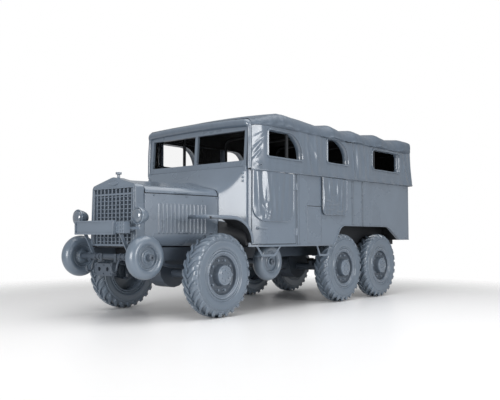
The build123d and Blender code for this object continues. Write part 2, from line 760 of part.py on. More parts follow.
# Canvas roof: level over the load space, lower and narrower at the windscreen
# station, half width, rise of the eave above the crease, crown, rounding of the eave
canvas_half = body_half + canvas_proud
bend_share = (canvas_front_x - cab_bend_x) / bend_r
front_canvas_half = canvas_half - bend_r * (1 - math.cos(math.asin(bend_share)))
roof_stations = (
    (canvas_rear_x, canvas_half, eave_rise, roof_crown, eave_r),
    (rear_axle_x + 2400, canvas_half, eave_rise, roof_crown, eave_r),
    (cab_bend_x, canvas_half, (eave_rise + front_eave_rise) / 2, roof_crown, (eave_r + front_eave_r) / 2),
    (canvas_front_x, front_canvas_half, front_eave_rise, roof_crown / 2, front_eave_r),
)
screen_top_z = screen_base_z + screen_height * math.cos(math.radians(screen_lean))
header_z = (screen_top_z + running, screen_top_z + header_rise)
header_x = (canvas_front_x - canvas_wall, screen_base_x - header_set_back)
with BuildPart() as canvas_roof:
    for inset, mode in ((0, Mode.ADD), (canvas_wall, Mode.SUBTRACT)):
        for (rear_x, *rear_size), (front_x, *front_size) in zip(roof_stations, roof_stations[1:]):
            start_x = rear_x + inset if rear_x == canvas_rear_x else rear_x
            with BuildSketch(section_plane(start_x)):
                roof_face(rear_size[0], crease_z, *rear_size[1:], inset)
            with BuildSketch(section_plane(front_x)):
                roof_face(front_size[0], crease_z, *front_size[1:], inset)
            loft(ruled=True, mode=mode)
    block(header_x, (-screen_half, screen_half), header_z)
canvas_roof.part.label = "canvas_roof"
export_step(canvas_roof.part, "parts/canvas_roof.step")

# Canvas rear curtain
with BuildPart() as canvas_rear:
    curtain_x = (canvas_rear_x, canvas_rear_x + canvas_wall)
    block(curtain_x, (-canvas_half, canvas_half), (hem_z, crease_z))
    split(bisect_by=hem_plane, keep=Keep.TOP)
canvas_rear.part.label = "canvas_rear"
export_step(canvas_rear.part, "parts/canvas_rear.step")

# Rolled window flaps: one hangs on each door, one on each side wall
# front station, rear station, foot, rounding of the lower corners
door_flap = (3040, 2327, 1110, 120)
side_flap = (1681, 1076, 1223, 60)


def flap(front, rear, foot, corner_r, high_z, low_gap, side):
    """Cloth flap lying on the body's side wall."""
    with BuildPart() as cloth:
        add(wall_strip(low_gap + flap_wall, -low_gap, body_rear_x, foot, high_z, side))
        with BuildSketch(side_plane(side * body_half)):
            with Locations(((front + rear) / 2 + rear_axle_x, (foot + high_z) / 2 + corner_r)):
                RectangleRounded(front - rear, high_z - foot + 2 * corner_r, corner_r)
        extrude(amount=4 * body_wall, both=True, mode=Mode.INTERSECT)
    return cloth.part


side_flap_top_z = hem_z - 20
for hand, side in sides.items():
    door_cloth = flap(*door_flap, door_top_z - pin_gap, running, side)
    door_cloth.label = f"door_flap_{hand}"
    export_step(door_cloth, f"parts/door_flap_{hand}.step")
with BuildPart() as side_flaps:
    for side in sides.values():
        add(flap(*side_flap, side_flap_top_z, running, side))
side_flaps.part.label = "side_flaps"
export_step(side_flaps.part, "parts/side_flaps.step")

# Hood bows: flat hoops whose feet stand against the inside of the side walls
bow_stations = (2400, 1500, 850, 200, -550)
bow_inset = canvas_proud + body_wall + running
with BuildPart() as hood_bows:
    for station in bow_stations:
        with BuildSketch(section_plane(rear_axle_x + station)):
            foot_z = hem_z - bow_foot
            roof_face(canvas_half, foot_z, eave_rise, roof_crown, eave_r, bow_inset)
        extrude(amount=bow_width / 2, both=True)
        with BuildSketch(section_plane(rear_axle_x + station)):
            roof_face(canvas_half, foot_z, eave_rise, roof_crown, eave_r, bow_inset + bow_wall)
        extrude(amount=bow_width, both=True, mode=Mode.SUBTRACT)
hood_bows.part.label = "hood_bows"
export_step(hood_bows.part, "parts/hood_bows.step")

# Radiator shell: gabled top, recess for the grille, filler cap
cap_r = 34
cap_x = rear_axle_x + 4345
cap_top_z = 1655
with BuildPart() as radiator_shell:
    with BuildSketch(section_plane(bonnet_front_x)):
        with BuildLine():
            Polyline(
                (shell_bottom_half, radiator_z),
                (shell_shoulder_half, shell_shoulder_z),
                (0, shell_peak_z),
                (-shell_shoulder_half, shell_shoulder_z),
                (-shell_bottom_half, radiator_z),
                close=True,
            )
        make_face()
        fillet(vertices().filter_by(lambda v: abs(v.Y - shell_shoulder_z) < 1), shoulder_round)
        fillet(vertices().sort_by(Axis.Y)[-1], peak_round)
    extrude(amount=shell_front_x - bonnet_front_x)
    recess_x = (shell_front_x - grille_recess, shell_front_x + grille_recess)
    recess_z = (grille_bottom_z, grille_top_z)
    block(recess_x, (-grille_half, grille_half), recess_z, mode=Mode.SUBTRACT)
    rod((cap_x, 0, shell_peak_z - 40), (cap_x, 0, cap_top_z - 25), cap_r / 2)
    rod((cap_x, 0, cap_top_z - 25), (cap_x, 0, cap_top_z), cap_r)
radiator_shell.part.label = "radiator_shell"
export_step(radiator_shell.part, "parts/radiator_shell.step")

# Grille: upright bars and a cross bar on a thin back plate
cross_bar_z = 1397
with BuildPart() as radiator_grille:
    plate_x = shell_front_x - grille_recess
    fit_half = grille_half - running
    fit_z = (grille_bottom_z + running, grille_top_z - running)
    block((plate_x, plate_x + grille_plate), (-fit_half, fit_half), fit_z)
    pitch = 2 * fit_half / grille_bars
    for bar in range(grille_bars):
        bar_y = (bar + 0.5) * pitch - fit_half
        y = (bar_y - grille_bar_width / 2, bar_y + grille_bar_width / 2)
        block((plate_x, shell_front_x - 12), y, fit_z)
    block((plate_x, shell_front_x - 8), (-fit_half, fit_half), (cross_bar_z - 11, cross_bar_z + 11))
radiator_grille.part.label = "radiator_grille"
export_step(radiator_grille.part, "parts/radiator_grille.step")


def bonnet_half(x):
    """Half width of the bonnet at a station."""
    share = (x - bonnet_front_x) / (bonnet_rear_x - bonnet_front_x)
    return shell_bottom_half - 5 + share * (bonnet_rear_half - shell_bottom_half + 5)


# Bonnet sides: upright panels that curve in at the foot, and the hinge rod of the lids
bonnet_hinge_r = 4
louvre_count = 13
louvre_pitch = 55
louvre_width = 30
louvre_height = 342
louvre_rise = 12
louvre_taper = 30     # degrees
louvre_x = rear_axle_x + 3780
louvre_z = 1124
side_top_z = bonnet_line_z - panel_gap / 2
with BuildPart() as bonnet_sides:
    for side in sides.values():
        for x in (bonnet_front_x, bonnet_rear_x):
            with BuildSketch(section_plane(x)):
                y = side * bonnet_half(x)
                inner = y - side * bonnet_wall
                tuck = y - side * bonnet_tuck
                with BuildLine():
                    Line((y, bonnet_tuck_z), (y, side_top_z))
                    Line((y, side_top_z), (inner, side_top_z))
                    Line((inner, side_top_z), (inner, bonnet_tuck_z))
                    TangentArc((inner, bonnet_tuck_z), (tuck - side * bonnet_wall, radiator_z), tangent=(0, -1))
                    Line((tuck - side * bonnet_wall, radiator_z), (tuck, radiator_z))
                    TangentArc((y, bonnet_tuck_z), (tuck, radiator_z), tangent=(0, -1))
                make_face()
        loft(ruled=True)
    flare = bonnet_half(bonnet_rear_x) - bonnet_half(bonnet_front_x)
    lean_in = math.atan2(flare, bonnet_front_x - bonnet_rear_x)
    for side in sides.values():
        panel = Plane(
            origin=(louvre_x, side * bonnet_half(louvre_x), louvre_z),
            x_dir=(-math.cos(lean_in), side * math.sin(lean_in), 0),
            z_dir=(math.sin(lean_in), side * math.cos(lean_in), 0),
        )
        with BuildSketch(panel):
            with GridLocations(louvre_pitch, 0, louvre_count, 1):
                Rectangle(louvre_width, louvre_height)
        extrude(amount=louvre_rise, taper=louvre_taper)
    hinge_drop = bonnet_wall / 2
    hinge_ends = ((bonnet_front_x - running, lid_crown_front_z), (bonnet_rear_x + running, lid_crown_rear_z))
    hinge_points = [(x, 0, crown_z - hinge_drop) for x, crown_z in hinge_ends]
    rod(*hinge_points, bonnet_hinge_r)
bonnet_sides.part.label = "bonnet_sides"
export_step(bonnet_sides.part, "parts/bonnet_sides.step")

# Bonnet lids: over the shoulder to the hinge on the centre line
lid_ends = (
    (bonnet_front_x - panel_gap, lid_crown_front_z),
    (bonnet_rear_x + panel_gap, lid_crown_rear_z),
)
lid_line_z = bonnet_line_z + panel_gap / 2
for hand, side in sides.items():
    with BuildPart() as bonnet_lid:
        for x, crown_z in lid_ends:
            with BuildSketch(section_plane(x)):
                edge = bonnet_half(x)
                shoulder = edge - lid_shoulder_run
                shoulder_z = bonnet_line_z + lid_shoulder_rise
                centre = bonnet_hinge_r + hinge_air
                with BuildLine():
                    Line((side * edge, lid_line_z), (side * (edge - bonnet_wall), lid_line_z))
                    inner_foot = (side * (edge - bonnet_wall), lid_line_z)
                    inner_shoulder = (side * shoulder, shoulder_z - bonnet_wall)
                    TangentArc(inner_foot, inner_shoulder, tangent=(0, 1))
                    Line(inner_shoulder, (side * centre, crown_z - bonnet_wall))
                    Line((side * centre, crown_z - bonnet_wall), (side * centre, crown_z))
                    Line((side * centre, crown_z), (side * shoulder, shoulder_z))
                    TangentArc((side * edge, lid_line_z), (side * shoulder, shoulder_z), tangent=(0, 1))
                make_face()
        loft(ruled=True)
    bonnet_lid.part.label = f"bonnet_lid_{hand}"
    export_step(bonnet_lid.part, f"parts/bonnet_lid_{hand}.step")

# Scuttle: widens from the bonnet to the windscreen, with a firewall at its front
# half width at the foot, height of the side, half width and height of the shoulder, crown
scuttle_front = (bonnet_rear_half, bonnet_line_z, bonnet_rear_half - 90, bonnet_line_z + 95, lid_crown_rear_z)
scuttle_rear = (cab_front_half, 1640, cab_front_half - 45, screen_base_z - 0.5, screen_base_z - 0.5)
scuttle_wall = 20
scuttle_flat_x = screen_base_x + 12


def scuttle_face(foot_half, side_z, shoulder_half, shoulder_z, crown_z, inset):
    """Cross section of the scuttle, brought in by an inset on the sides and the top."""
    with BuildLine() as outline:
        Polyline(
            (foot_half - inset, radiator_z + 2 * inset),
            (foot_half - inset, side_z),
            (shoulder_half - inset, shoulder_z - inset),
            (0, crown_z - inset),
            (inset - shoulder_half, shoulder_z - inset),
            (inset - foot_half, side_z),
            (inset - foot_half, radiator_z + 2 * inset),
            close=True,
        )
    make_face(outline.edges())


def scuttle_loft(inset, mode):
    """Tapered front and straight rear of the scuttle."""
    with BuildSketch(section_plane(bonnet_rear_x - inset)) as nose:
        scuttle_face(*scuttle_front, inset)
    with BuildSketch(section_plane(scuttle_flat_x)) as base:
        scuttle_face(*scuttle_rear, inset)
    loft([nose.sketch, base.sketch], ruled=True, mode=mode)
    extrude(base.sketch, amount=cab_front_x - scuttle_flat_x, mode=mode)


column_foot = (bonnet_rear_x - scuttle_wall - 4, 400, 1120)
column_lean = 32
column_length = 420
column_r = 18
column_dir = Vector(-math.cos(math.radians(column_lean)), 0, math.sin(math.radians(column_lean)))
column_tip = Vector(*column_foot) + column_dir * column_length
with BuildPart() as scuttle:
    scuttle_loft(0, Mode.ADD)
    scuttle_loft(scuttle_wall, Mode.SUBTRACT)
    rod(column_foot, column_tip, column_r)
scuttle.part.label = "scuttle"
export_step(scuttle.part, "parts/scuttle.step")

# Steering wheel: rim, three spokes and a hub on the column
wheel_rim_r = 205
wheel_grip_r = 15
wheel_hub_length = 40
wheel_hub_r = 30
with BuildPart() as steering_wheel:
    seat = column_tip + column_dir * running
    top = seat + column_dir * wheel_hub_length
    rod(seat, top, wheel_hub_r)
    rim_plane = Plane(origin=(seat + column_dir * wheel_hub_length / 2), z_dir=column_dir)
    with BuildSketch(rim_plane):
        RegularPolygon(wheel_rim_r + wheel_grip_r, facets)
        RegularPolygon(wheel_rim_r - wheel_grip_r, facets, mode=Mode.SUBTRACT)
    extrude(amount=wheel_grip_r, both=True)
    for turn in (90, 210, 330):
        spoke = rim_plane.x_dir.rotate(Axis((0, 0, 0), column_dir), turn)
        rod(rim_plane.origin, (rim_plane.origin + spoke * wheel_rim_r), 9)
steering_wheel.part.label = "steering_wheel"
export_step(steering_wheel.part, "parts/steering_wheel.step")

# Windscreen: leaning frame with a centre post and two panes
lean = math.radians(screen_lean)
screen_plane = Plane(
    origin=(screen_base_x, 0, screen_base_z),
    x_dir=(0, 1, 0),
    z_dir=(math.cos(lean), 0, math.sin(lean)),
)
pane_low = 72
pane_high = screen_height - 107
pane_in = screen_bar / 2
pane_out = screen_half - screen_bar
with BuildPart() as windscreen_frame:
    with BuildSketch(screen_plane):
        with Locations((0, screen_height / 2)):
            Rectangle(2 * screen_half, screen_height)
        for side in sides.values():
            with Locations((side * (pane_in + pane_out) / 2, (pane_low + pane_high) / 2)):
                Rectangle(pane_out - pane_in, pane_high - pane_low, mode=Mode.SUBTRACT)
    extrude(amount=-screen_depth)
    block((-far, far), (-far, far), (0, screen_base_z), mode=Mode.SUBTRACT)
windscreen_frame.part.label = "windscreen_frame"
export_step(windscreen_frame.part, "parts/windscreen_frame.step")

with BuildPart() as windscreen_glass:
    with BuildSketch(screen_plane.offset(-screen_depth / 2)):
        for side in sides.values():
            with Locations((side * (pane_in + pane_out) / 2, (pane_low + pane_high) / 2)):
                Rectangle(pane_out - pane_in, pane_high - pane_low)
    extrude(amount=glass_wall / 2, both=True)
windscreen_glass.part.label = "windscreen_glass"
export_step(windscreen_glass.part, "parts/windscreen_glass.step")

# Front fenders: flat top, swept rear and rolled outer lip, trimmed to the scuttle
with BuildPart() as front_fenders:
    for side in sides.values():
        for depth, inner_y in ((fender_wall, fender_in_y), (fender_lip, body_half - fender_wall)):
            with BuildSketch(side_plane(side * inner_y)):
                low_z = fender_top_z - depth
                foot = (fender_foot_x + depth, fender_foot_z)
                with BuildLine():
                    Line((fender_front_x, fender_top_z), (fender_bend_x, fender_top_z))
                    TangentArc((fender_bend_x, fender_top_z), (fender_foot_x, fender_foot_z), tangent=(-1, 0))
                    Line((fender_foot_x, fender_foot_z), foot)
                    TangentArc((fender_bend_x, low_z), foot, tangent=(-1, 0))
                    Line((fender_bend_x, low_z), (fender_front_x, low_z))
                    Line((fender_front_x, low_z), (fender_front_x, fender_top_z))
                make_face()
            extrude(amount=-side * (body_half - inner_y))
        nose_y = (side * fender_in_y, side * body_half)
        nose_x = (fender_front_x - fender_wall, fender_front_x)
        block(nose_x, nose_y, (fender_top_z - fender_lip, fender_top_z))
    scuttle_loft(0, Mode.SUBTRACT)
front_fenders.part.label = "front_fenders"
export_step(front_fenders.part, "parts/front_fenders.step")

# Lamp bar: box beam with a blank plate, arms to the radiator, stays to the tube, lamp arms
bar_x = (rear_axle_x + 4530, rear_axle_x + 4620)
bar_half = 440
bar_z = (955, 1080)
plate_size = (25, 700, 155)
plate_y = -40
arm_y = 365
arm_width = 40
stay_y = 320
stay_wall = 12
lamp_y = 541
lamp_x = rear_axle_x + 4512
lamp_z = 1143
lamp_r = 88
lamp_back = 140
lens_rise = 22
lamp_post_r = 14
with BuildPart() as lamp_bar:
    block(bar_x, (-bar_half, bar_half), bar_z)
    plate_half = plate_size[1] / 2
    plate_z = sum(bar_z) / 2
    plate_span = (plate_z - plate_size[2] / 2, plate_z + plate_size[2] / 2)
    block((bar_x[1], bar_x[1] + plate_size[0]), (plate_y - plate_half, plate_y + plate_half), plate_span)
    for side in sides.values():
        arm_span = (side * (arm_y - arm_width / 2), side * (arm_y + arm_width / 2))
        block((shell_front_x, bar_x[0]), arm_span, (bar_z[0] + 30, bar_z[0] + 70))
        lamp_arm_x = (lamp_x - lamp_post_r - 30, lamp_x - lamp_post_r + 10)
        lamp_arm_z = (bar_z[0] + 40, bar_z[0] + 70)
        block((lamp_arm_x[0], bar_x[1]), (side * (bar_half - 40), side * bar_half), lamp_arm_z)
        block(lamp_arm_x, (side * (bar_half - 40), side * (lamp_y + 25)), lamp_arm_z)
        with BuildSketch(side_plane(side * stay_y)):
            with BuildLine():
                tube_top = front_roller_z + roller_tube_r + running
                Polyline(
                    (bar_x[0] + 10, bar_z[0]),
                    (bar_x[0] + 55, bar_z[0]),
                    (front_roller_x + 20, tube_top),
                    (front_roller_x - 20, tube_top),
                    close=True,
                )
            make_face()
        extrude(amount=stay_wall / 2, both=True)
lamp_bar.part.label = "lamp_bar"
export_step(lamp_bar.part, "parts/lamp_bar.step")

# Headlamps: bullet shells with a domed lens, each on a short post
lamp_profile = [(-lamp_back, 26), (-105, 60), (-60, 81), (-18, lamp_r), (0, lamp_r)]
lamp_profile += [(0, lamp_r - 8), (0.7 * lens_rise, 0.62 * lamp_r), (lens_rise, 0.25 * lamp_r)]
with BuildPart() as headlamps:
    for side in sides.values():
        lamp_centre = (lamp_x, side * lamp_y, lamp_z)
        add(turned(lamp_centre, (1, 0, 0), lamp_profile, closed=False))
        post_x = lamp_x - lamp_post_r - 10
        arm_top = bar_z[0] + 70
        rod((post_x, side * lamp_y, arm_top), (post_x, side * lamp_y, lamp_z - lamp_r / 2), lamp_post_r)
headlamps.part.label = "headlamps"
export_step(headlamps.part, "parts/headlamps.step")

# Footsteps: trapezoid hangers under the sill, each with a tread
# front of the hanger, rear of the hanger, front of the tread, rear of the tread, tread height
steps = ((3050, 2583, 2951, 2694, 676), (1797, 1470, 1728, 1534, 658))
step_bar = 26
step_depth = 130
step_wall = 10
with BuildPart() as footsteps:
    for side in sides.values():
        for top_front, top_rear, low_front, low_rear, tread_z in steps:
            with BuildSketch(side_plane(side * body_half)):
                with BuildLine():
                    Polyline(
                        (rear_axle_x + top_front, body_floor_z),
                        (rear_axle_x + low_front, tread_z),
                        (rear_axle_x + low_rear, tread_z),
                        (rear_axle_x + top_rear, body_floor_z),
                        (rear_axle_x + top_rear + step_bar, body_floor_z),
                        (rear_axle_x + low_rear + step_bar * 0.7, tread_z + step_bar),
                        (rear_axle_x + low_front - step_bar * 0.7, tread_z + step_bar),
                        (rear_axle_x + top_front - step_bar, body_floor_z),
                        close=True,
                    )
                make_face()
            extrude(amount=side * step_wall)
            tread_x = (rear_axle_x + low_front, rear_axle_x + low_rear)
            block(tread_x, (side * (body_half - step_depth), side * body_half), (tread_z, tread_z + step_wall))
footsteps.part.label = "footsteps"
export_step(footsteps.part, "parts/footsteps.step")

# Front seats: cushion, leaning back and box base
seat_y = (100, 610)
seat_front_x = rear_axle_x + 2730
seat_rear_x = rear_axle_x + 2210
seat_top_z = 1130
seat_depth = 430
back_top_z = 1620
back_wall = 100
back_lean = 60
with BuildPart() as front_seats:
    for side in sides.values():
        with BuildSketch(side_plane(side * seat_y[0])):
            with BuildLine():
                Polyline(
                    (seat_front_x, floor_top_z),
                    (seat_front_x, seat_top_z),
                    (seat_front_x - seat_depth, seat_top_z - 20),
                    (seat_rear_x + back_wall - back_lean, back_top_z),
                    (seat_rear_x - back_lean, back_top_z),
                    (seat_rear_x, floor_top_z),
                    close=True,
                )
            make_face()
        extrude(amount=-side * (seat_y[1] - seat_y[0]))
front_seats.part.label = "front_seats"
export_step(front_seats.part, "parts/front_seats.step")
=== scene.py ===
"""Looks of a six-wheeled military cargo truck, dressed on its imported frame."""
import json
import logging
import math
from dataclasses import dataclass, field
from enum import Enum
from typing import Dict, Optional, Sequence, Tuple

import bmesh
import bpy
import numpy as np
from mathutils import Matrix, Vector


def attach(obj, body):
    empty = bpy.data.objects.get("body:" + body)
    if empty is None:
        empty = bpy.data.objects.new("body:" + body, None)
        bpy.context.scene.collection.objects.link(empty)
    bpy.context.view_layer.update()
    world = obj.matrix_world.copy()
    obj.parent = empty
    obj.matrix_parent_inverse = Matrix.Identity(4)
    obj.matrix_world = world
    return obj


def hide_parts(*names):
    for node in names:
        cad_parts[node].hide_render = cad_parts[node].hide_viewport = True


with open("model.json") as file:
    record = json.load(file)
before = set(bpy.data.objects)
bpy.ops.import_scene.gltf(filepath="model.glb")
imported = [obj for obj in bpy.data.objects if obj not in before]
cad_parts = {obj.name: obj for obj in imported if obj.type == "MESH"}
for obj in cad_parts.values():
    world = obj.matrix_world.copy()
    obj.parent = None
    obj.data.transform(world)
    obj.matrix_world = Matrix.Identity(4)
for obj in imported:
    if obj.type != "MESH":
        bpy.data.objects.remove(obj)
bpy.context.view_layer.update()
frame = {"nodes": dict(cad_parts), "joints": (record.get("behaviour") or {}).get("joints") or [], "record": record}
LOG = logging.getLogger("truck")

Array = np.ndarray
Point = Sequence[float]
Pairs = Sequence[Tuple[float, float]]
Rows = Tuple[Tuple[float, ...], ...]
Inputs = Dict[object, object]
AHEAD, OUT, UP = (1.0, 0.0, 0.0), (0.0, 1.0, 0.0), (0.0, 0.0, 1.0)
SIDES = {"left": 1.0, "right": -1.0}
REAR = -1.8755            # x of the rear axle in the frame; stations are measured from it
BODY_HALF = 0.985
CANVAS_HALF = 1.002
BEND_STATION = 2.75       # ahead of it the sides turn in on a circle
BODY_BEND_R = 0.6282
CREASE_Z = 2.285          # line between the canvas skirt and the roof
HEM_Z, HEM_STATION = 1.745, 1.125
CLOTH_SMOOTH = 60.0       # angle in degrees below which cloth is shaded smooth
WELD = 1e-6
CLOUD_DETAIL, FINE_DETAIL = 5.0, 3.0
STREAK_STRETCH = (9.0, 9.0, 0.7)
STREAK_SCALE = 2.0
LEAST_ROUGH = 0.02
EDGE_SAMPLES = 6
GRAIN_DEPTH = 0.002
GLASS_ALPHA = 0.05
COAT_ROUGH = 0.12


def wire(tree: bpy.types.NodeTree, made: bpy.types.Node, inputs: Inputs) -> bpy.types.Node:
    """Set a node's inputs.

    Args:
        tree: Tree of the node.
        made: The node.
        inputs: For each input, by name or number, an output to link or a value.

    Returns:
        The node.
    """
    for key, value in inputs.items():
        if isinstance(value, bpy.types.NodeSocket):
            tree.links.new(value, made.inputs[key])
        else:
            made.inputs[key].default_value = value
    return made


def add_node(tree: bpy.types.NodeTree, kind: str, inputs: Inputs, **settings: object) -> bpy.types.Node:
    """Add a shader node to a tree.

    Args:
        tree: Tree of a material or of the world.
        kind: Type of the node, without its first word.
        inputs: Values and linked outputs of its inputs.
        settings: Its other properties.

    Returns:
        The node.
    """
    made = tree.nodes.new(f"ShaderNode{kind}")
    for name, value in settings.items():
        setattr(made, name, value)
    return wire(tree, made, inputs)


class Slot(Enum):
    """Material slots of the record."""

    PAINT = "body_paint"
    CHASSIS = "chassis_paint"
    RUBBER = "tyre_rubber"
    CANVAS = "canvas"
    GLASS = "clear_glass"
    SEAT = "seat_leather"
    LAMP = "lamp_shell"


@dataclass(frozen=True)
class Finish:
    """One surface: its colour, how even and how glossy it is, and its grain or its rounded edges."""

    name: str
    slot: Slot
    colour: Tuple[float, float, float]
    rough: float
    rough_spread: float = 0.06
    mottle: float = 0.08
    mottle_scale: float = 2.5
    grain: float = 0.0
    grain_scale: float = 400.0
    round_edge: float = 0.0
    streak: float = 0.0
    clear: bool = False
    coat: float = 0.0
    shine: float = 0.5

    def material(self) -> bpy.types.Material:
        """Build the finish as a procedural material, once.

        Returns:
            The material, on Object coordinates.
        """
        found = bpy.data.materials.get(f"look_{self.name}")
        if found:
            return found
        made = bpy.data.materials.new(f"look_{self.name}")
        made.use_nodes = True
        tree = made.node_tree
        tree.nodes.clear()
        place = add_node(tree, "TexCoord", {}).outputs["Object"]

        def noise(scale: float, detail: float, at: bpy.types.NodeSocket) -> bpy.types.NodeSocket:
            """Cloudy pattern at a place."""
            return add_node(tree, "TexNoise", {"Scale": scale, "Detail": detail, "Vector": at}).outputs["Fac"]

        factor = noise(self.mottle_scale, CLOUD_DETAIL, place)
        if self.streak:
            stretch = add_node(tree, "Mapping", {"Scale": STREAK_STRETCH, "Vector": place})
            lines = noise(STREAK_SCALE, FINE_DETAIL, stretch.outputs["Vector"])
            factor = add_node(tree, "Mix", {"Factor": self.streak, 2: factor, 3: lines}).outputs[0]
        shades = (1.0 - self.mottle, 1.0 + self.mottle)
        dark, light = ([linear(min(1.0, c * shade)) for c in self.colour] for shade in shades)
        tint = add_node(tree, "Mix", {"Factor": factor, 6: (*dark, 1.0), 7: (*light, 1.0)}, data_type="RGBA")
        low, high = max(LEAST_ROUGH, self.rough - self.rough_spread), self.rough + self.rough_spread
        gloss = add_node(tree, "MapRange", {"Value": factor, "To Min": low, "To Max": high})
        look = {"Base Color": tint.outputs[2], "Roughness": gloss.outputs["Result"],
                "Specular IOR Level": self.shine}
        if self.round_edge:
            edge = add_node(tree, "Bevel", {"Radius": self.round_edge}, samples=EDGE_SAMPLES)
            look["Normal"] = edge.outputs["Normal"]
        if self.grain:
            height = noise(self.grain_scale, FINE_DETAIL, place)
            bump = add_node(tree, "Bump", {"Height": height, "Strength": self.grain, "Distance": GRAIN_DEPTH})
            look["Normal"] = bump.outputs["Normal"]
        if self.clear:
            look["Alpha"] = GLASS_ALPHA
        if self.coat:
            look.update({"Coat Weight": self.coat, "Coat Roughness": COAT_ROUGH})
        shader = add_node(tree, "BsdfPrincipled", look)
        add_node(tree, "OutputMaterial", {"Surface": shader.outputs["BSDF"]})
        return made


def linear(value: float) -> float:
    """Linear light of a display colour value."""
    return value / 12.92 if value <= 0.04045 else ((value + 0.055) / 1.055) ** 2.4


GREY = (0.388, 0.433, 0.485)
PAINT = Finish("satin_paint", Slot.PAINT, GREY, 0.28, round_edge=0.006, coat=0.3, shine=0.7)
PRESSED = Finish("pressed_paint", Slot.PAINT, GREY, 0.28, round_edge=0.018, coat=0.3, shine=0.7)
CHASSIS = Finish("chassis_paint", Slot.CHASSIS, (0.270, 0.305, 0.348), 0.40, round_edge=0.004)
RUBBER = Finish("tyre_rubber", Slot.RUBBER, (0.362, 0.410, 0.462), 0.30, round_edge=0.007, coat=0.2,
                shine=0.7)
# Wheel dish lining darker than the wheel's paint: painted shade in the dish's recess.
DISH_SHADE = Finish("dish_paint", Slot.PAINT, (0.285, 0.320, 0.362), 0.40, shine=0.5)
CANVAS = Finish("waxed_canvas", Slot.CANVAS, (0.345, 0.392, 0.445), 0.25, mottle=0.10, streak=0.6,
                coat=0.3, shine=0.9)
# Roof canvas darker than the skirt's: painted shade against the light on the roof's top; it is also rougher and
# less shiny.
ROOF_SHADED = Finish("roof_canvas", Slot.CANVAS, (0.315, 0.358, 0.407), 0.42, mottle=0.10, streak=0.6, shine=0.4)
GLASS = Finish("clear_glass", Slot.GLASS, (0.060, 0.066, 0.074), 0.03, 0.01, 0.0, clear=True)
SEAT = Finish("seat_leather", Slot.SEAT, (0.150, 0.168, 0.190), 0.55, grain=0.12, grain_scale=220.0)
LAMP = Finish("lamp_shell", Slot.LAMP, (0.380, 0.428, 0.480), 0.20, coat=0.5, shine=0.8)
LENS = Finish("lamp_lens", Slot.LAMP, (0.330, 0.372, 0.420), 0.10, 0.02, coat=1.0, shine=0.9)
# Near-black painted shade: sheets and faces under, inside and behind parts, where shade falls.
PAINTED_SHADE = Finish("dark_recess", Slot.CHASSIS, (0.110, 0.122, 0.140), 0.6)
# Inner face of the canvas drawn near-black: painted shade inside the body.
SHADED_LINING = Finish("canvas_lining", Slot.CANVAS, (0.034, 0.037, 0.043), 0.85, shine=0.2)
PRESSED_NODES = ("radiator_shell", "bonnet_lid_left", "bonnet_lid_right")
# Frame nodes under and inside the truck, drawn in painted shade.
SHADED_NODES = ("engine_block", "hood_bows", "chassis_crossmembers", "propeller_shafts", "body_floor")
NODE_FINISH = {made.slot: made for made in (PAINT, CHASSIS, RUBBER, CANVAS, GLASS, SEAT, LAMP)}


@dataclass
class Shell:
    """A surface: its points, and its four- and three-cornered faces by point number."""

    points: Array
    quads: Array
    tris: Array = field(default_factory=lambda: np.zeros((0, 3), int))

    def moved(self, shift: Point) -> "Shell":
        """The same surface moved by a shift."""
        return Shell(self.points + np.asarray(shift, float), self.quads, self.tris)

    def placed(self) -> "Shell":
        """The surface given by stations, moved to its row on the truck."""
        return self.moved((REAR, 0.0, 0.0))

    def set_at(self, at: Point, side: float) -> "Shell":
        """The closed surface with y turned to a side, then moved; Piece turns its faces outwards again."""
        return Shell(self.points * (1.0, side, 1.0), self.quads, self.tris).moved(at)

    def mirrored(self) -> "Shell":
        """The surface on the other side of the truck's middle plane, faces turned to match."""
        return Shell(self.points * (1.0, -1.0, 1.0), self.quads[:, ::-1], self.tris[:, ::-1])

    def on_hand(self, side: float) -> "Shell":
        """The surface itself for the left side, its mirror image for the right."""
        return self if side > 0 else self.mirrored()

    def both(self) -> "Shell":
        """The surface with its mirror image."""
        return joined([self, self.mirrored()])

    def area(self) -> float:
        """Sum of the areas of the four-cornered faces.

        Returns:
            Square metres, from half the cross product of each face's two diagonals.
        """
        first, second, third, fourth = self.points[self.quads].transpose(1, 0, 2)
        flat = np.cross(third - first, fourth - second)
        return float(np.linalg.norm(flat, axis=1).sum() / 2)


def joined(shells: Sequence[Shell]) -> Shell:
    """One surface from several.

    Args:
        shells: The surfaces to put together.

    Returns:
        The joint surface, with face numbers shifted past the points before them.
    """
    starts = np.cumsum([0] + [len(s.points) for s in shells])
    return Shell(
        np.concatenate([s.points for s in shells]),
        np.concatenate([s.quads + n for s, n in zip(shells, starts)]),
        np.concatenate([s.tris + n for s, n in zip(shells, starts)]),
    )


def grid_quads(rows: int, cols: int, close_rows: bool = False, close_cols: bool = False) -> Array:
    """Faces of a grid of points numbered row by row.

    Args:
        rows: Number of rows.
        cols: Number of points in a row.
        close_rows: Join the last row to the first.
        close_cols: Join the last column to the first.

    Returns:
        Four point numbers for each face.
    """
    r = np.arange(rows if close_rows else rows - 1)[:, None]
    c = np.arange(cols if close_cols else cols - 1)[None, :]
    r2, c2 = (r + 1) % rows, (c + 1) % cols
    return np.stack([r * cols + c, r * cols + c2, r2 * cols + c2, r2 * cols + c], -1).reshape(-1, 4)


def grid(points: Array, close_rows: bool = False, close_cols: bool = False) -> Shell:
    """Surface of a rows by columns by three array of points."""
    rows, cols = points.shape[:2]
    return Shell(points.reshape(-1, 3), grid_quads(rows, cols, close_rows, close_cols))


def unit(vectors: Array) -> Array:
    """Vectors at length one."""
    return vectors / np.maximum(np.linalg.norm(vectors, axis=-1, keepdims=True), 1e-12)


def angles(count: int) -> Array:
    """Even angles round a full turn, without the last."""
    return np.linspace(0.0, 2 * np.pi, count, endpoint=False)


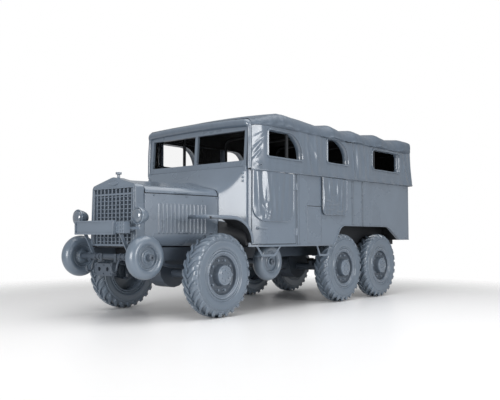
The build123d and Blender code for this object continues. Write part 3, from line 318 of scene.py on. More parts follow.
def even_steps(line: Array, step: float, loop: bool = False) -> Array:
    """Points in even steps along a line.

    Args:
        line: Points (x, y) of the line.
        step: Spacing, rounded up to fit.
        loop: The line ends where it starts, and the last point is left out.

    Returns:
        The new points.
    """
    length = np.concatenate([[0.0], np.cumsum(np.linalg.norm(np.diff(line, axis=0), axis=1))])
    count = int(length[-1] / step) + (not loop)
    even = np.linspace(0, length[-1], count, endpoint=not loop)
    return np.stack([np.interp(even, length, line[:, k]) for k in range(2)], -1)


def turned(profile: Pairs, segments: int = 96, closed: bool = False) -> Shell:
    """Surface of revolution about the Y axis.

    The point of profile (a, r) at angle t lies at (r cos t, a, r sin t).

    Args:
        profile: Pairs of place along the axis and radius.
        segments: Points round the axis.
        closed: The profile is a loop.

    Returns:
        The surface; points on the axis are welded later.
    """
    a, r = np.asarray(profile, float).T
    t = angles(segments)
    points = np.stack([np.outer(r, np.cos(t)), np.outer(a, np.ones(segments)), np.outer(r, np.sin(t))], -1)
    return grid(points, closed, True)


def swept(path: Array, section: Array, up: Point = UP, closed: bool = False,
          size: Optional[Array] = None) -> Shell:
    """Section carried along a path.

    At each path point the section's first axis is the path's direction crossed with up,
    and its second axis is square to both.

    Args:
        path: Points of the path.
        section: Loop of two-dimensional points.
        up: Direction that is never along the path.
        closed: The path is a loop.
        size: Growth of the section at each path point.

    Returns:
        The tube, its open ends closed by fans.
    """
    path = np.asarray(path, float)
    if closed:
        along = unit(np.roll(path, -1, 0) - np.roll(path, 1, 0))
    else:
        along = unit(np.gradient(path, axis=0))
    side = unit(np.cross(along, np.asarray(up, float)))
    rise = np.cross(side, along)
    section = section[None] * (np.ones(len(path)) if size is None else size)[:, None, None]
    points = path[:, None] + section[..., :1] * side[:, None] + section[..., 1:] * rise[:, None]
    body = grid(points, closed, True)
    if closed:
        return body
    count, loop = points.shape[:2]
    ring = np.arange(loop)
    ahead, far = np.roll(ring, -1), (count - 1) * loop
    first = np.stack([np.full(loop, count * loop), ring, ahead], -1)
    last = np.stack([np.full(loop, count * loop + 1), ahead + far, ring + far], -1)
    ends = np.stack([points[0].mean(0), points[-1].mean(0)])
    return Shell(np.concatenate([body.points, ends]), body.quads, np.concatenate([first, last]))


def circle(radius: float, sides: int = 12) -> Array:
    """Round section."""
    t = angles(sides)
    return radius * np.stack([np.cos(t), np.sin(t)], -1)


def tube(points: Sequence[Point], radius: float, up: Point = UP,
         bend: float = 0.0, sides: int = 12) -> Shell:
    """Round bar through points, with its corners cut over a length of bend."""
    return swept(rounded_path(np.asarray(points, float), bend), circle(radius, sides), up)


def rounded_path(points: Array, bend: float, steps: int = 6) -> Array:
    """Path whose corners are parabolas that start and end a bend length from the corner.

    Args:
        points: Corners of the path.
        bend: Length cut from each run at a corner.
        steps: Points on a corner.

    Returns:
        Points of the path.
    """
    if bend <= 0 or len(points) < 3:
        return points
    t = np.linspace(0, 1, steps)[:, None]
    parts = [points[:1]]
    for before, corner, after in zip(points[:-2], points[1:-1], points[2:]):
        start = corner + unit(before - corner) * bend
        end = corner + unit(after - corner) * bend
        parts.append((1 - t) ** 2 * start + 2 * t * (1 - t) * corner + t ** 2 * end)
    return np.concatenate(parts + [points[-1:]])


def boxes(bounds: Sequence[Point]) -> Shell:
    """Boxes as one surface.

    Args:
        bounds: Rows of low and high x, y and z.

    Returns:
        Eight corners and six faces for each row.
    """
    b = np.asarray(bounds, float).reshape(-1, 3, 2)
    pick = np.array([(i, j, k) for k in (0, 1) for j in (0, 1) for i in (0, 1)])
    points = b[:, np.arange(3)[None, :], pick].reshape(-1, 3)
    face = np.array([(0, 2, 3, 1), (4, 5, 7, 6), (0, 1, 5, 4), (2, 6, 7, 3), (0, 4, 6, 2), (1, 3, 7, 5)])
    quads = (np.arange(len(b))[:, None, None] * 8 + face[None]).reshape(-1, 4)
    return Shell(points, quads)


def studs(centres: Array, facing: Array, profile: Pairs, sides: int = 8) -> Shell:
    """Small turned pieces such as rivets and bolt heads.

    The point of profile (radius, height) at angle t lies at the centre, plus height along the
    facing direction, plus radius times cos t and sin t along two directions square to it.

    Args:
        centres: One point for each piece.
        facing: One direction for each piece, or one for all.
        profile: Pairs of radius and height.
        sides: Points round each.

    Returns:
        All the pieces as one surface.
    """
    centres = np.atleast_2d(np.asarray(centres, float))
    facing = unit(np.broadcast_to(np.asarray(facing, float), centres.shape))
    helper = np.where(np.abs(facing[:, 2:]) < 0.9, UP, AHEAD)
    first = unit(np.cross(helper, facing))
    second = np.cross(facing, first)
    r, h = np.asarray(profile, float).T
    t = angles(sides)
    ring = np.cos(t)[:, None, None] * first + np.sin(t)[:, None, None] * second
    points = centres + h[:, None, None, None] * facing + r[:, None, None, None] * ring
    rows = len(r)
    cell = grid_quads(rows, sides, False, True)
    quads = (np.arange(len(centres))[:, None, None] * rows * sides + cell[None]).reshape(-1, 4)
    return Shell(points.transpose(2, 0, 1, 3).reshape(-1, 3), quads)


RIVET = ((0.0, 0.0035), (0.004, 0.0030), (0.0065, 0.0015), (0.0075, -0.001))


def hex_bolt(radius: float, height: float) -> Pairs:
    """Profile of a bolt head with a washer."""
    return [(0.0, height), (0.82 * radius, height), (radius, 0.85 * height), (radius, 0.2 * height),
            (1.35 * radius, 0.18 * height), (1.35 * radius, -0.002)]


def slabs(back: float, front: float, spans: Sequence[Point]) -> Shell:
    """Boxes between two stations, from rows of low and high y and z."""
    return boxes([(back, front, *span) for span in spans]).placed()


def on_side(station: Array, z: Array, out: Array, half: float = BODY_HALF) -> Array:
    """Points on the left side of the body or canvas: a plane, and ahead of the bend station a circle.

    Args:
        station: Stations of the points.
        z: Their heights.
        out: Distances out from the side.
        half: Half width of the body or canvas.

    Returns:
        Rows of x, y and z.
    """
    bend_r = BODY_BEND_R + half - BODY_HALF
    ahead = np.clip((station - BEND_STATION) / bend_r, 0.0, 0.99)
    lift = np.sqrt(1 - ahead ** 2)
    return np.stack([REAR + station + out * ahead, half - bend_r * (1 - lift) + out * lift, z], -1)


def pushed(path: Array, normal: Array, out: Array, z: Array) -> Array:
    """Points of a plan path moved out along its normals and set at heights."""
    return np.concatenate([path + out[..., None] * normal, z[..., None]], -1)


@dataclass
class Piece:
    """A finished mesh object of the truck."""

    name: str
    shell: Shell
    finish: Finish
    body: str = "truck"
    replaces: Tuple[str, ...] = ()
    smooth: float = 38.0
    bevel: float = 0.0
    thick: float = 0.0
    lining: Optional[Finish] = None
    closed: bool = True

    def add(self) -> bpy.types.Object:
        """Make the mesh, weld its seams, dress it and let it ride on its body.

        Returns:
            The new object.
        """
        mesh = bpy.data.meshes.new(self.name)
        faces = self.shell.quads.tolist() + self.shell.tris.tolist()
        mesh.from_pydata(self.shell.points.tolist(), [], faces)
        work = bmesh.new()
        work.from_mesh(mesh)
        bmesh.ops.remove_doubles(work, verts=work.verts, dist=WELD)
        if self.closed:
            bmesh.ops.recalc_face_normals(work, faces=work.faces)
        work.to_mesh(mesh)
        work.free()
        mesh.shade_smooth()
        mesh.set_sharp_from_angle(angle=math.radians(self.smooth))
        mesh.materials.append(self.finish.material())
        thing = bpy.data.objects.new(self.name, mesh)
        bpy.context.scene.collection.objects.link(thing)
        if self.thick:
            solid = thing.modifiers.new("thickness", "SOLIDIFY")
            solid.thickness = self.thick
            solid.offset = -1.0
            mesh.materials.append((self.lining or self.finish).material())
            solid.material_offset = 1
        if self.bevel:
            edge = thing.modifiers.new("edges", "BEVEL")
            edge.width = self.bevel
            edge.segments = 2
            edge.limit_method = "ANGLE"
        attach(thing, self.body)
        if self.replaces:
            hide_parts(*self.replaces)
        LOG.info("%s: %d faces on %s", self.name, len(mesh.polygons), self.body)
        return thing


def joint_place(name: str) -> Array:
    """Place of a joint of the frame, in metres."""
    return np.array(next(j["pos_m"] for j in frame["joints"] if j["name"] == name), float)


@dataclass
class RoadWheels:
    """Six lugged tyres on dished wheels, each on its own spinning body."""

    segments: int = 144
    lugs: int = 26
    sweep: float = 0.26
    nut_circle: float = 0.176
    nut_reach: float = 0.0495
    cap_circle: float = 0.057
    cap_reach: float = 0.1338
    half_profile: Pairs = (
        (0.1, 0.2705), (0.108, 0.275), (0.1125, 0.281), (0.1125, 0.289), (0.105, 0.294), (0.103, 0.299),
        (0.108, 0.304), (0.112, 0.312), (0.1135, 0.335), (0.115, 0.362), (0.115, 0.377), (0.1165, 0.381),
        (0.1165, 0.389), (0.113, 0.393), (0.1075, 0.396), (0.1065, 0.401), (0.108, 0.406), (0.106, 0.416),
        (0.1, 0.43), (0.088, 0.444), (0.066, 0.4515), (0.035, 0.454), (0.0, 0.455),
    )
    lug_top: Pairs = (
        (0.003, 0.48), (0.045, 0.4798), (0.078, 0.4755), (0.097, 0.464), (0.1095, 0.443), (0.115, 0.424),
    )
    lug_foot: Pairs = (
        (0.003, 0.452), (0.045, 0.452), (0.074, 0.449), (0.088, 0.44), (0.098, 0.428), (0.104, 0.416),
    )
    lug_spread: float = 0.012
    lug_chamfer: float = 0.007
    lug_chamfer_drop: float = 0.0045
    lug_turn: Tuple[float, ...] = (0.0, 0.45, 0.75, 0.88, 0.96, 1.0)
    lug_half: Tuple[float, ...] = (0.042, 0.048, 0.053, 0.057, 0.058, 0.054)
    wheel_profile: Pairs = (
        (0.134, 0.0), (0.134, 0.02), (0.134, 0.076), (0.131, 0.083), (0.128, 0.086), (0.128, 0.091),
        (0.133, 0.096), (0.1335, 0.104), (0.13, 0.1105), (0.122, 0.1125), (0.085, 0.115), (0.058, 0.12),
        (0.0505, 0.126), (0.05, 0.134), (0.05, 0.196), (0.0505, 0.206), (0.055, 0.214), (0.066, 0.22),
        (0.094, 0.2255), (0.0985, 0.229), (0.099, 0.236), (0.096, 0.239), (0.096, 0.2425), (0.1, 0.246),
        (0.106, 0.249), (0.11, 0.256), (0.11, 0.264), (0.106, 0.2695), (0.1, 0.27), (-0.1, 0.27),
        (-0.106, 0.2695), (-0.11, 0.262), (-0.106, 0.25), (-0.095, 0.246), (0.036, 0.246), (0.04, 0.235),
        (0.04, 0.11), (0.0, 0.085), (-0.004, 0.08), (-0.004, 0.0403), (0.073, 0.0403), (0.073, 0.0),
    )
    dish_profile: Pairs = (
        (0.118, 0.1145), (0.086, 0.1175), (0.06, 0.1225), (0.0527, 0.128), (0.052, 0.134), (0.052, 0.196),
        (0.0525, 0.205), (0.057, 0.2125), (0.067, 0.2175), (0.09, 0.2225), (0.09, 0.2265), (0.066, 0.2215),
        (0.054, 0.2155), (0.049, 0.206), (0.049, 0.134), (0.049, 0.124), (0.056, 0.118), (0.085, 0.1125),
        (0.118, 0.1105),
    )

    def carcass(self) -> Shell:
        """Tyre without its lugs, turned about its own centre."""
        half = np.array(self.half_profile)
        other = half[-2::-1] * (-1.0, 1.0)
        return turned(np.concatenate([half, other]), self.segments, closed=True)

    def tread(self) -> Shell:
        """Two rings of swept lugs, half a pitch apart.

        Each lug is a six-cornered section carried from the middle of the tread over the shoulder:
        corner angle is the lug's turn, plus the sweep at the station, plus or minus the half width.

        Returns:
            All the lugs as closed solids.
        """
        top, foot = np.array(self.lug_top), np.array(self.lug_foot)
        half = np.array(self.lug_half)
        turn = np.array(self.lug_turn) * self.sweep
        right = np.stack([half - self.lug_chamfer, half, half + self.lug_spread], -1)
        across = np.concatenate([-right[:, ::-1], right], -1)
        drop = self.lug_chamfer_drop * np.array([0, 1, 0, 0, 1, 0])
        is_foot = np.array([1, 0, 0, 0, 0, 1], bool)
        radius = np.where(is_foot, foot[:, 1:], top[:, 1:] - drop)
        reach = np.where(is_foot, foot[:, :1], top[:, :1])
        first = angles(self.lugs)[:, None, None]
        stations, corners = across.shape
        cell = grid_quads(stations, corners, False, True)
        caps = np.array([(0, 1, 4, 5), (1, 2, 3, 4)])
        cell = np.concatenate([cell, caps[:, ::-1], caps + (stations - 1) * corners])
        quads = (np.arange(self.lugs)[:, None, None] * stations * corners + cell).reshape(-1, 4)
        rings = []
        for side, stagger in ((1.0, 0.0), (-1.0, 0.5)):
            angle = first + stagger * 2 * np.pi / self.lugs + turn[:, None] + across
            y = np.broadcast_to(side * reach, angle.shape)
            points = np.stack([radius * np.cos(angle), y, radius * np.sin(angle)], -1)
            rings.append(Shell(points.reshape(-1, 3), quads))
        return joined(rings)

    def bolts(self, turn: Array, radius: float, reach: float, head: Pairs) -> Shell:
        """Ring of bolt heads that face outwards."""
        at = np.stack([radius * np.cos(turn), np.full(len(turn), reach), radius * np.sin(turn)], -1)
        return studs(at, OUT, head, 6)

    def wheel(self) -> Shell:
        """Rim, disc and hub, with ten wheel nuts and six cap bolts."""
        nuts = self.bolts(angles(10), self.nut_circle, self.nut_reach, hex_bolt(0.0165, 0.030))
        caps = self.bolts(angles(6) + np.pi / 6, self.cap_circle, self.cap_reach, hex_bolt(0.0115, 0.013))
        return joined([turned(self.wheel_profile), nuts, caps])

    def dish(self) -> Shell:
        """Thin lining of the dish in painted shade, turned from its hub side out to the rim side."""
        return turned(self.dish_profile, closed=True)

    def build(self) -> None:
        """Place a tyre, a wheel and its dish lining on each of the six spinning bodies."""
        tyre, wheel, dish = joined([self.carcass(), self.tread()]), self.wheel(), self.dish()
        for axle in ("front", "middle", "rear"):
            for hand, side in SIDES.items():
                key = f"{axle}_{hand}"
                body, at = f"wheel_{key}", joint_place(f"spin_{key}")
                for node, shell, finish in ((f"tyre_{key}", tyre, RUBBER), (body, wheel, PAINT)):
                    Piece(f"{node}_look", shell.set_at(at, side), finish, body, (node,)).add()
                # The dish lining is painted shade in the wheel's recess.
                Piece(f"{body}_dish", dish.set_at(at, side), DISH_SHADE, body).add()


@dataclass
class GuideRollers:
    """Four fat rollers with a small dished rim."""

    centre_r: float = 0.175
    half_height: float = 0.065
    half_width: float = 0.080
    rim_r: float = 0.136
    rim: Pairs = (
        (0.064, 0.136), (0.058, 0.133), (0.062, 0.128), (0.06, 0.121), (0.048, 0.116), (0.034, 0.112),
        (0.034, 0.086), (0.04, 0.083), (0.044, 0.078), (0.046, 0.068), (0.06, 0.0645), (0.064, 0.06),
        (0.064, 0.045), (0.062, 0.0335),
    )

    def build(self) -> None:
        """Turn each roller: an elliptical tyre from rim to rim, and a mirrored dish."""
        low = math.acos(-(self.centre_r - self.rim_r) / self.half_height)
        t = np.linspace(low, -low, 40)
        tyre = np.stack([self.half_width * np.sin(t), self.centre_r + self.half_height * np.cos(t)], -1)
        rim = np.array(self.rim)
        shell = turned(np.concatenate([rim[::-1], tyre, rim * (-1.0, 1.0)]), closed=True)
        for row in ("front", "side"):
            for hand, side in SIDES.items():
                node = f"roller_{row}_{hand}"
                placed = shell.set_at(joint_place(f"spin_{node}"), side)
                Piece(f"{node}_look", placed, RUBBER, node, (node,)).add()


def hem_z(x: Array) -> Array:
    """Height of the canvas hem at row x: it falls 8 mm in each metre forward."""
    return HEM_Z - 0.008 * (x - (REAR + HEM_STATION))


def ridges(x: Array, z: Array, table: Rows) -> Array:
    """Sum of soft folds.

    A fold is a run of cloth from one point to another: its height is the peak times a bell of the
    distance from the run, divided by its width. It is highest in the middle and 0.55 of that at its ends.

    Args:
        x: Stations of the points.
        z: Heights of the points.
        table: Rows of station, height, station, height, peak and width.

    Returns:
        Height of the cloth above its smooth surface.
    """
    total = np.zeros(np.broadcast(x, z).shape)
    for x0, z0, x1, z1, peak, width in table:
        run = np.array([x1 - x0, z1 - z0])
        share = ((x - x0) * run[0] + (z - z0) * run[1]) / (run @ run)
        inside = np.clip(share, 0.0, 1.0)
        away = np.hypot(x - x0 - inside * run[0], z - z0 - inside * run[1])
        taper = 0.55 + 0.45 * np.sin(np.pi * inside)
        total += peak * taper * np.exp(-((away / width) ** 2))
    return total


@dataclass(frozen=True)
class Window:
    """Hole in the canvas: stations, heights, and the rounding of its corners."""

    front: float
    rear: float
    sill: float
    head: float
    sweep: float
    corner: float

    def outline(self, grow: float = 0.0, step: float = 0.004) -> Array:
        """Loop of (station, height) points round the hole.

        Args:
            grow: Distance to move the outline outwards.
            step: Spacing of the points.

        Returns:
            The loop, in even steps.
        """
        f, r, s, h = self.front + grow, self.rear - grow, self.sill - grow, self.head + grow
        arcs = []
        for x, z, radius, start in ((f, s, self.corner, -90), (f, h, self.corner, 0),
                                    (r, h, self.sweep, 90), (r, s, self.corner, 180)):
            radius += grow
            cx = x - radius if x == f else x + radius
            cz = z + radius if z == s else z - radius
            t = np.radians(np.linspace(start, start + 90, 14))
            arcs.append(np.stack([cx + radius * np.cos(t), cz + radius * np.sin(t)], -1))
        rough = np.concatenate(arcs + [arcs[0][:1]])
        return even_steps(rough, step, loop=True)

    def holds(self, x: Array, z: Array) -> Array:
        """Test points against the hole by counting the outline's crossings ahead of each.

        Args:
            x: Stations of the points.
            z: Their heights.

        Returns:
            True where a point lies inside.
        """
        loop = self.outline(0.0, 0.02)
        inside = np.zeros(x.shape, bool)
        for (x0, z0), (x1, z1) in zip(loop, np.roll(loop, -1, 0)):
            if z0 != z1:
                inside ^= ((z0 > z) != (z1 > z)) & (x < (x1 - x0) * (z - z0) / (z1 - z0) + x0)
        return inside


@dataclass
class CanvasTop:
    """Canvas skirt with its windows, and the roof that bellies between the bows."""

    front: float = 3.075
    rear: float = -0.930
    step: float = 0.0125
    hem_drop: float = 0.012
    lap: float = 3.088
    rows: int = 46
    tail_corner: float = 0.06
    roof_corner: float = 0.08
    tail_flare: float = 0.035
    side_from: float = 0.8
    curtain_ripple: float = 0.004
    edge_r: float = 0.165
    bow_span: float = 0.17
    ripple: float = 0.003
    hip: float = 0.75
    piping_r: float = 0.012
    band: float = 0.085
    hem_r: float = 0.010
    header_r: float = 0.050
    header_line: Rows = (
        (3.086, 0.0, 2.322), (3.086, 0.55, 2.313), (3.084, 0.892, 2.298), (3.092, 0.905, 2.05),
        (3.094, 0.903, 1.742))
    waves: Rows = ((0.0025, 17.0, 4.0, 0.0), (0.0015, 41.0, -9.0, 1.3))
    windows: Tuple[Window, ...] = (
        Window(2.844, 2.148, 1.905, 2.233, 0.300, 0.024),
        Window(1.557, 1.028, 1.935, 2.268, 0.300, 0.024),
        Window(0.348, -0.517, 1.938, 2.242, 0.070, 0.070),
    )
    folds: Rows = (
        (3.06, 1.84, 2.96, 1.96, 0.004, 0.013), (3.06, 1.88, 2.94, 2.03, -0.005, 0.012),
        (3.06, 1.95, 2.95, 2.08, 0.004, 0.013), (3.05, 2.03, 2.92, 2.14, -0.004, 0.012),
        (3.04, 2.12, 2.91, 2.2, 0.003, 0.014), (3.0, 1.79, 2.99, 1.8, 0.008, 0.04),
        (2.07, 2.25, 1.97, 1.8, 0.016, 0.026), (1.98, 2.27, 1.9, 1.78, -0.012, 0.03),
        (1.86, 2.27, 1.8, 1.78, 0.015, 0.028), (1.74, 2.2, 1.77, 1.8, 0.01, 0.022),
        (1.66, 2.25, 1.64, 1.85, -0.008, 0.025), (1.93, 2.15, 1.74, 1.86, 0.008, 0.018),
        (0.93, 2.27, 0.87, 1.8, 0.014, 0.026), (0.83, 2.26, 0.8, 1.79, -0.01, 0.028),
        (0.78, 2.25, 0.74, 1.78, 0.014, 0.024), (0.62, 2.25, 0.57, 1.78, 0.012, 0.026),
        (0.69, 2.2, 0.5, 1.86, 0.007, 0.018), (0.47, 2.2, 0.45, 1.8, 0.009, 0.02),
        (-0.6, 2.26, -0.72, 1.8, 0.013, 0.024), (-0.68, 2.27, -0.8, 1.79, -0.01, 0.024),
        (-0.76, 2.25, -0.62, 1.95, 0.01, 0.02), (-0.85, 2.26, -0.88, 1.8, 0.01, 0.02),
        (2.84, 1.86, 2.15, 1.84, 0.006, 0.016), (0.34, 1.88, -0.52, 1.87, 0.005, 0.016),
    )
    bow_stations: Tuple[float, ...] = (2.47, 1.41, 0.81, 0.14, -0.61)
    eaves: Pairs = (
        (-0.93, 2.488), (-0.8, 2.494), (-0.61, 2.502), (-0.35, 2.44), (0.14, 2.502), (0.36, 2.438),
        (0.81, 2.484), (1.03, 2.428), (1.41, 2.488), (1.59, 2.436), (2.1, 2.474), (2.47, 2.486),
        (2.65, 2.462), (2.89, 2.398), (3.026, 2.352),
    )

    def plan(self, corner: float, step: float) -> Tuple[Array, Array]:
        """Plan of the left half of the canvas, from its front edge to the middle of its tail.

        The side is straight behind the bend station and a circle ahead of it, and the tail corner is a
        quarter circle.

        Args:
            corner: Radius of the tail corner.
            step: Spacing of the points.

        Returns:
            Points (x, y) in even steps, and the outward normals of the path.
        """
        bend_r = BODY_BEND_R + CANVAS_HALF - BODY_HALF
        turn = np.linspace(math.asin((self.front - BEND_STATION) / bend_r), 0.0, 24)
        bend = np.stack([BEND_STATION + bend_r * np.sin(turn), CANVAS_HALF - bend_r * (1 - np.cos(turn))], -1)
        t = np.linspace(0, np.pi / 2, 10)
        tail = np.stack([-np.sin(t), np.cos(t)], -1) * corner + (self.rear + corner, CANVAS_HALF - corner)
        path = even_steps(np.concatenate([bend, tail, [(self.rear, 0.0)]]) + (REAR, 0.0), step)
        along = unit(np.gradient(path, axis=0))
        return path, np.stack([along[:, 1], -along[:, 0]], -1)

    def swell(self, x: Array, z: Array) -> Array:
        """Cloth height over the smooth skirt: folds, slow sine waves, and a flare at the hem and the tail.

        Args:
            x: Stations of the points.
            z: Their heights.

        Returns:
            Distance out from the smooth skirt.
        """
        hem = hem_z(x + REAR)
        share = np.clip((z - hem) / (CREASE_Z - hem), 0, 1)
        waves = sum(high * np.sin(along * x + up * z + start) for high, along, up, start in self.waves)
        flare = 0.006 * np.exp(-(share / 0.10) ** 2) * (1 + np.sin(23.0 * x)) * (x < 2.2)
        tail = np.clip((-0.35 - x) / 0.55, 0, 1) ** 2 * (1 - share) ** 1.5
        depth = 0.9 + 0.6 * np.clip((x - 2.75) / 0.15, 0, 1)
        return depth * ridges(x, z, self.folds) + waves * (0.4 + share) + flare + self.tail_flare * tail

    def place(self, x: Array, z: Array, proud: float) -> Array:
        """Points on the left skirt at given stations and heights, moved outwards."""
        return on_side(x, z, proud + self.swell(x, z), CANVAS_HALF)

    def skirt(self) -> Shell:
        """Left half of the skirt: rows from the hem to above the crease, holes cut for the windows.

        Returns:
            The surface with its edge points drawn onto the window outlines.
        """
        path, normal = self.plan(self.tail_corner, self.step)
        share = np.linspace(0, 1, self.rows)[:, None]
        low = hem_z(path[:, 0]) - self.hem_drop
        z = low + share * (CREASE_Z + 0.02 - low)
        x = np.broadcast_to(path[:, 0] - REAR, z.shape)
        tail = (path[:, 1] < CANVAS_HALF - 0.03) & (path[:, 0] < REAR)
        across = np.where(tail, path[:, 1] * 1.3, x)
        spread = self.tail_flare * (1 - share) ** 1.5
        curtain = spread + self.curtain_ripple * np.sin(19 * across) + ridges(across, z, self.folds) * 0.5
        shell = grid(pushed(path, normal, np.where(tail, curtain, self.swell(x, z)), z))
        flat_x, flat_z, quads = x.ravel(), z.ravel(), shell.quads
        centre_x, centre_z = flat_x[quads].mean(1), flat_z[quads].mean(1)
        on_flank = np.broadcast_to(path[:, 1] > self.side_from, z.shape).ravel()[quads].all(1)
        keep = np.ones(len(quads), bool)
        for window in self.windows:
            hole = window.holds(centre_x, centre_z) & on_flank
            edge = np.intersect1d(quads[hole], quads[~hole & keep])
            loop = window.outline()
            gap = (flat_x[edge, None] - loop[:, 0]) ** 2 + (flat_z[edge, None] - loop[:, 1]) ** 2
            near = loop[gap.argmin(1)]
            shell.points[edge] = self.place(near[:, 0], near[:, 1], 0.0)
            keep &= ~hole
        used, number = np.unique(quads[keep], return_inverse=True)
        return Shell(shell.points[used], number.reshape(-1, 4))

    def eave_z(self, station: Array) -> Array:
        """Height of the roof's edge, which rises at the bows and sags between them.

        Args:
            station: Stations along the edge.

        Returns:
            Heights between the table's, smoothed by a bell.
        """
        at, height = np.array(self.eaves).T
        fine = np.linspace(at[0], at[-1], 400)
        coarse = np.interp(fine, at, height)
        bell = np.exp(-np.linspace(-2, 2, 17) ** 2)
        padded = np.pad(coarse, 8, mode="edge")
        return np.interp(station, fine, np.convolve(padded, bell / bell.sum(), "valid"))

    def crumple(self, station: Array) -> Array:
        """Small creases in the roof's edge over the cab: two sine waves that set in above the doors' rear."""
        waves = np.sin(57.0 * station) + np.sin(86.0 * station + 1.0)
        return 0.0045 * waves * np.clip((station - 2.25) / 0.25, 0, 1)

    def roof(self) -> Shell:
        """Left half of the roof sheet.

        Rows climb from the crease: upright, then a quarter ellipse over the edge, then in to the middle
        line, where the crown is highest. Behind the rear axle the ellipse's rows are cut off at the tail's
        and the side's own insets, so that they don't cross. A first column laps over the header roll.

        Returns:
            The surface, open at the windscreen and on the middle line.
        """
        path, normal = self.plan(self.roof_corner, 0.018)
        station = path[:, 0] - REAR
        eave = self.eave_z(station) + self.crumple(station)
        lean = np.clip((station - 2.35) / 0.65, 0, 1)
        behind = (station < 0)[:, None]
        radius = self.edge_r - 0.095 * lean - 0.055 * np.clip((self.rear + 0.45 - station) / 0.40, 0, 1)
        foot = CREASE_Z - 0.012
        bows = np.exp(-((station[:, None] - np.array(self.bow_stations)) / self.bow_span) ** 2).sum(1)
        belly = 0.004 + 0.026 * bows * (station < 2.75)
        drawn = self.swell(station, np.full(station.shape, CREASE_Z))
        rows = []
        for share in np.linspace(0, 1, 8)[:-1]:
            ripple = self.ripple * np.sin(33 * station + 5 * share)
            bulge = 0.014 + belly * np.sin(np.pi * (0.25 + 0.6 * share)) + ripple
            out = -0.004 + bulge * math.sin(min(1.0, 2.2 * share) * math.pi / 2) + (1 - share) ** 3 * drawn
            rows.append(pushed(path, normal, out, foot + share * (eave - radius - foot)))
        ripple = self.ripple * np.sin(33 * station + 5)
        for turn in np.radians(np.linspace(0, 90, 10)):
            inset = radius * (1 - math.cos(turn))
            z = eave - radius + radius * math.sin(turn)
            out = (0.010 + belly * 0.52 + ripple) * math.cos(turn)
            corner = pushed(path, normal, out, z)
            corner[:, 0] = np.maximum(corner[:, 0], REAR + self.rear - out + 0.8 * inset)
            corner[:, 1] = np.minimum(corner[:, 1], CANVAS_HALF + out - inset)
            rows.append(np.where(behind, corner, pushed(path, normal, out - inset, z)))
        last = rows[-1]
        spine_x = np.clip(last[:, 0], REAR + self.rear + self.hip, REAR + self.front)
        spine = np.stack([spine_x, np.zeros(len(spine_x)), self.eave_z(spine_x - REAR)], -1)
        for share in np.linspace(0, 1, 12)[1:]:
            row = last + share * (spine - last)
            row[:, 2] += (0.040 - 0.02 * lean) * (1 - (1 - share) ** 2)
            rows.append(row)
        points = np.stack(rows)
        lap = points[:, :1].copy()
        lap[..., 0] = REAR + self.lap
        return grid(np.concatenate([lap, points], 1))

    def window_trim(self, window: Window) -> Tuple[Shell, Shell]:
        """Trim of a window on the left side.

        Args:
            window: The hole.

        Returns:
            The piping round it and the band of cloth turned in behind it.
        """
        loop, inner = window.outline(0.006), window.outline()
        piping = swept(self.place(loop[:, 0], loop[:, 1], 0.004), circle(self.piping_r, 8), OUT, closed=True)
        face = self.place(inner[:, 0], inner[:, 1], -0.001)
        inward = np.array([0.0, -self.band, 0.0])
        return piping, grid(np.stack([face, face + inward, face + inward * 1.05]), False, True)

    def build(self) -> None:
        skirt_half, roof_half = self.skirt(), self.roof()
        # The cloth's inner face takes the painted-shade lining.
        cloth = {"smooth": CLOTH_SMOOTH, "thick": 0.004, "lining": SHADED_LINING, "closed": False}
        stands_for = ("canvas_sides", "canvas_rear")
        skirt = Piece("canvas_skirt", skirt_half.both(), CANVAS, "truck", stands_for, **cloth).add()
        roof = Piece("canvas_roof_sheet", roof_half.both(), ROOF_SHADED, "truck", ("canvas_roof",), **cloth).add()
        pipings, linings = zip(*[self.window_trim(window) for window in self.windows])
        piping = Piece("window_piping", joined(pipings).both(), CANVAS).add()
        bands = Piece("window_bands", joined(linings).both(), CANVAS, closed=False, thick=0.003).add()
        path, normal = self.plan(self.tail_corner, 0.02)
        low = hem_z(path[:, 0])
        tail = path[:, 0] < REAR + self.rear + 0.08
        out = np.where(tail, 0.030, self.swell(path[:, 0] - REAR, low)) + 0.001
        hem = swept(pushed(path, normal, out, low), circle(self.hem_r, 8))
        hem_roll = Piece("canvas_hem", hem.both(), CANVAS).add()
        line = rounded_path(np.array(self.header_line) + (REAR, 0.0, 0.0), 0.06, 10)
        fall = np.clip((2.29 - line[:, 2]) / 0.05, 0, 1)
        header = swept(line, circle(self.header_r, 18), (1.0, 0.2, 0.1), size=1.0 - 0.5 * fall)
        roll = Piece("canvas_header_roll", header.both(), CANVAS).add()
        2 * skirt_half.area()
        2 * roof_half.area()


@dataclass(frozen=True)
class Flap:
    """Cloth that hangs on the body's side, with its edges and folds."""

    front: float
    rear: float
    foot: float
    top: float
    corner: float
    folds: Rows
    proud: float = 0.012
    depth: float = 1.0

    def surface(self) -> Tuple[Shell, Array]:
        """Left flap as a grid whose lower corners are drawn in to a curve.

        Returns:
            The cloth and the path of its three free edges.
        """
        u = np.linspace(0, 1, 96)[None, :]
        v = np.linspace(0, 1, 72)[:, None]
        mid, half = (self.front + self.rear) / 2, (self.front - self.rear) / 2
        near = np.clip((np.abs(u - 0.5) * 2 * half - (half - self.corner)) / self.corner, 0, 1)
        low = self.foot + self.corner * (1 - np.sqrt(1 - near ** 2))
        z = self.top + v * (low - self.top)
        x = np.broadcast_to(mid + half * (1 - 2 * u), z.shape)
        out = self.proud + self.depth * ridges(x, z, self.folds) + 0.002 * np.sin(60 * x + 7 * z)
        points = on_side(x, z, out)
        return grid(points), np.concatenate([points[:-1, 0], points[-1], points[-2::-1, -1]])


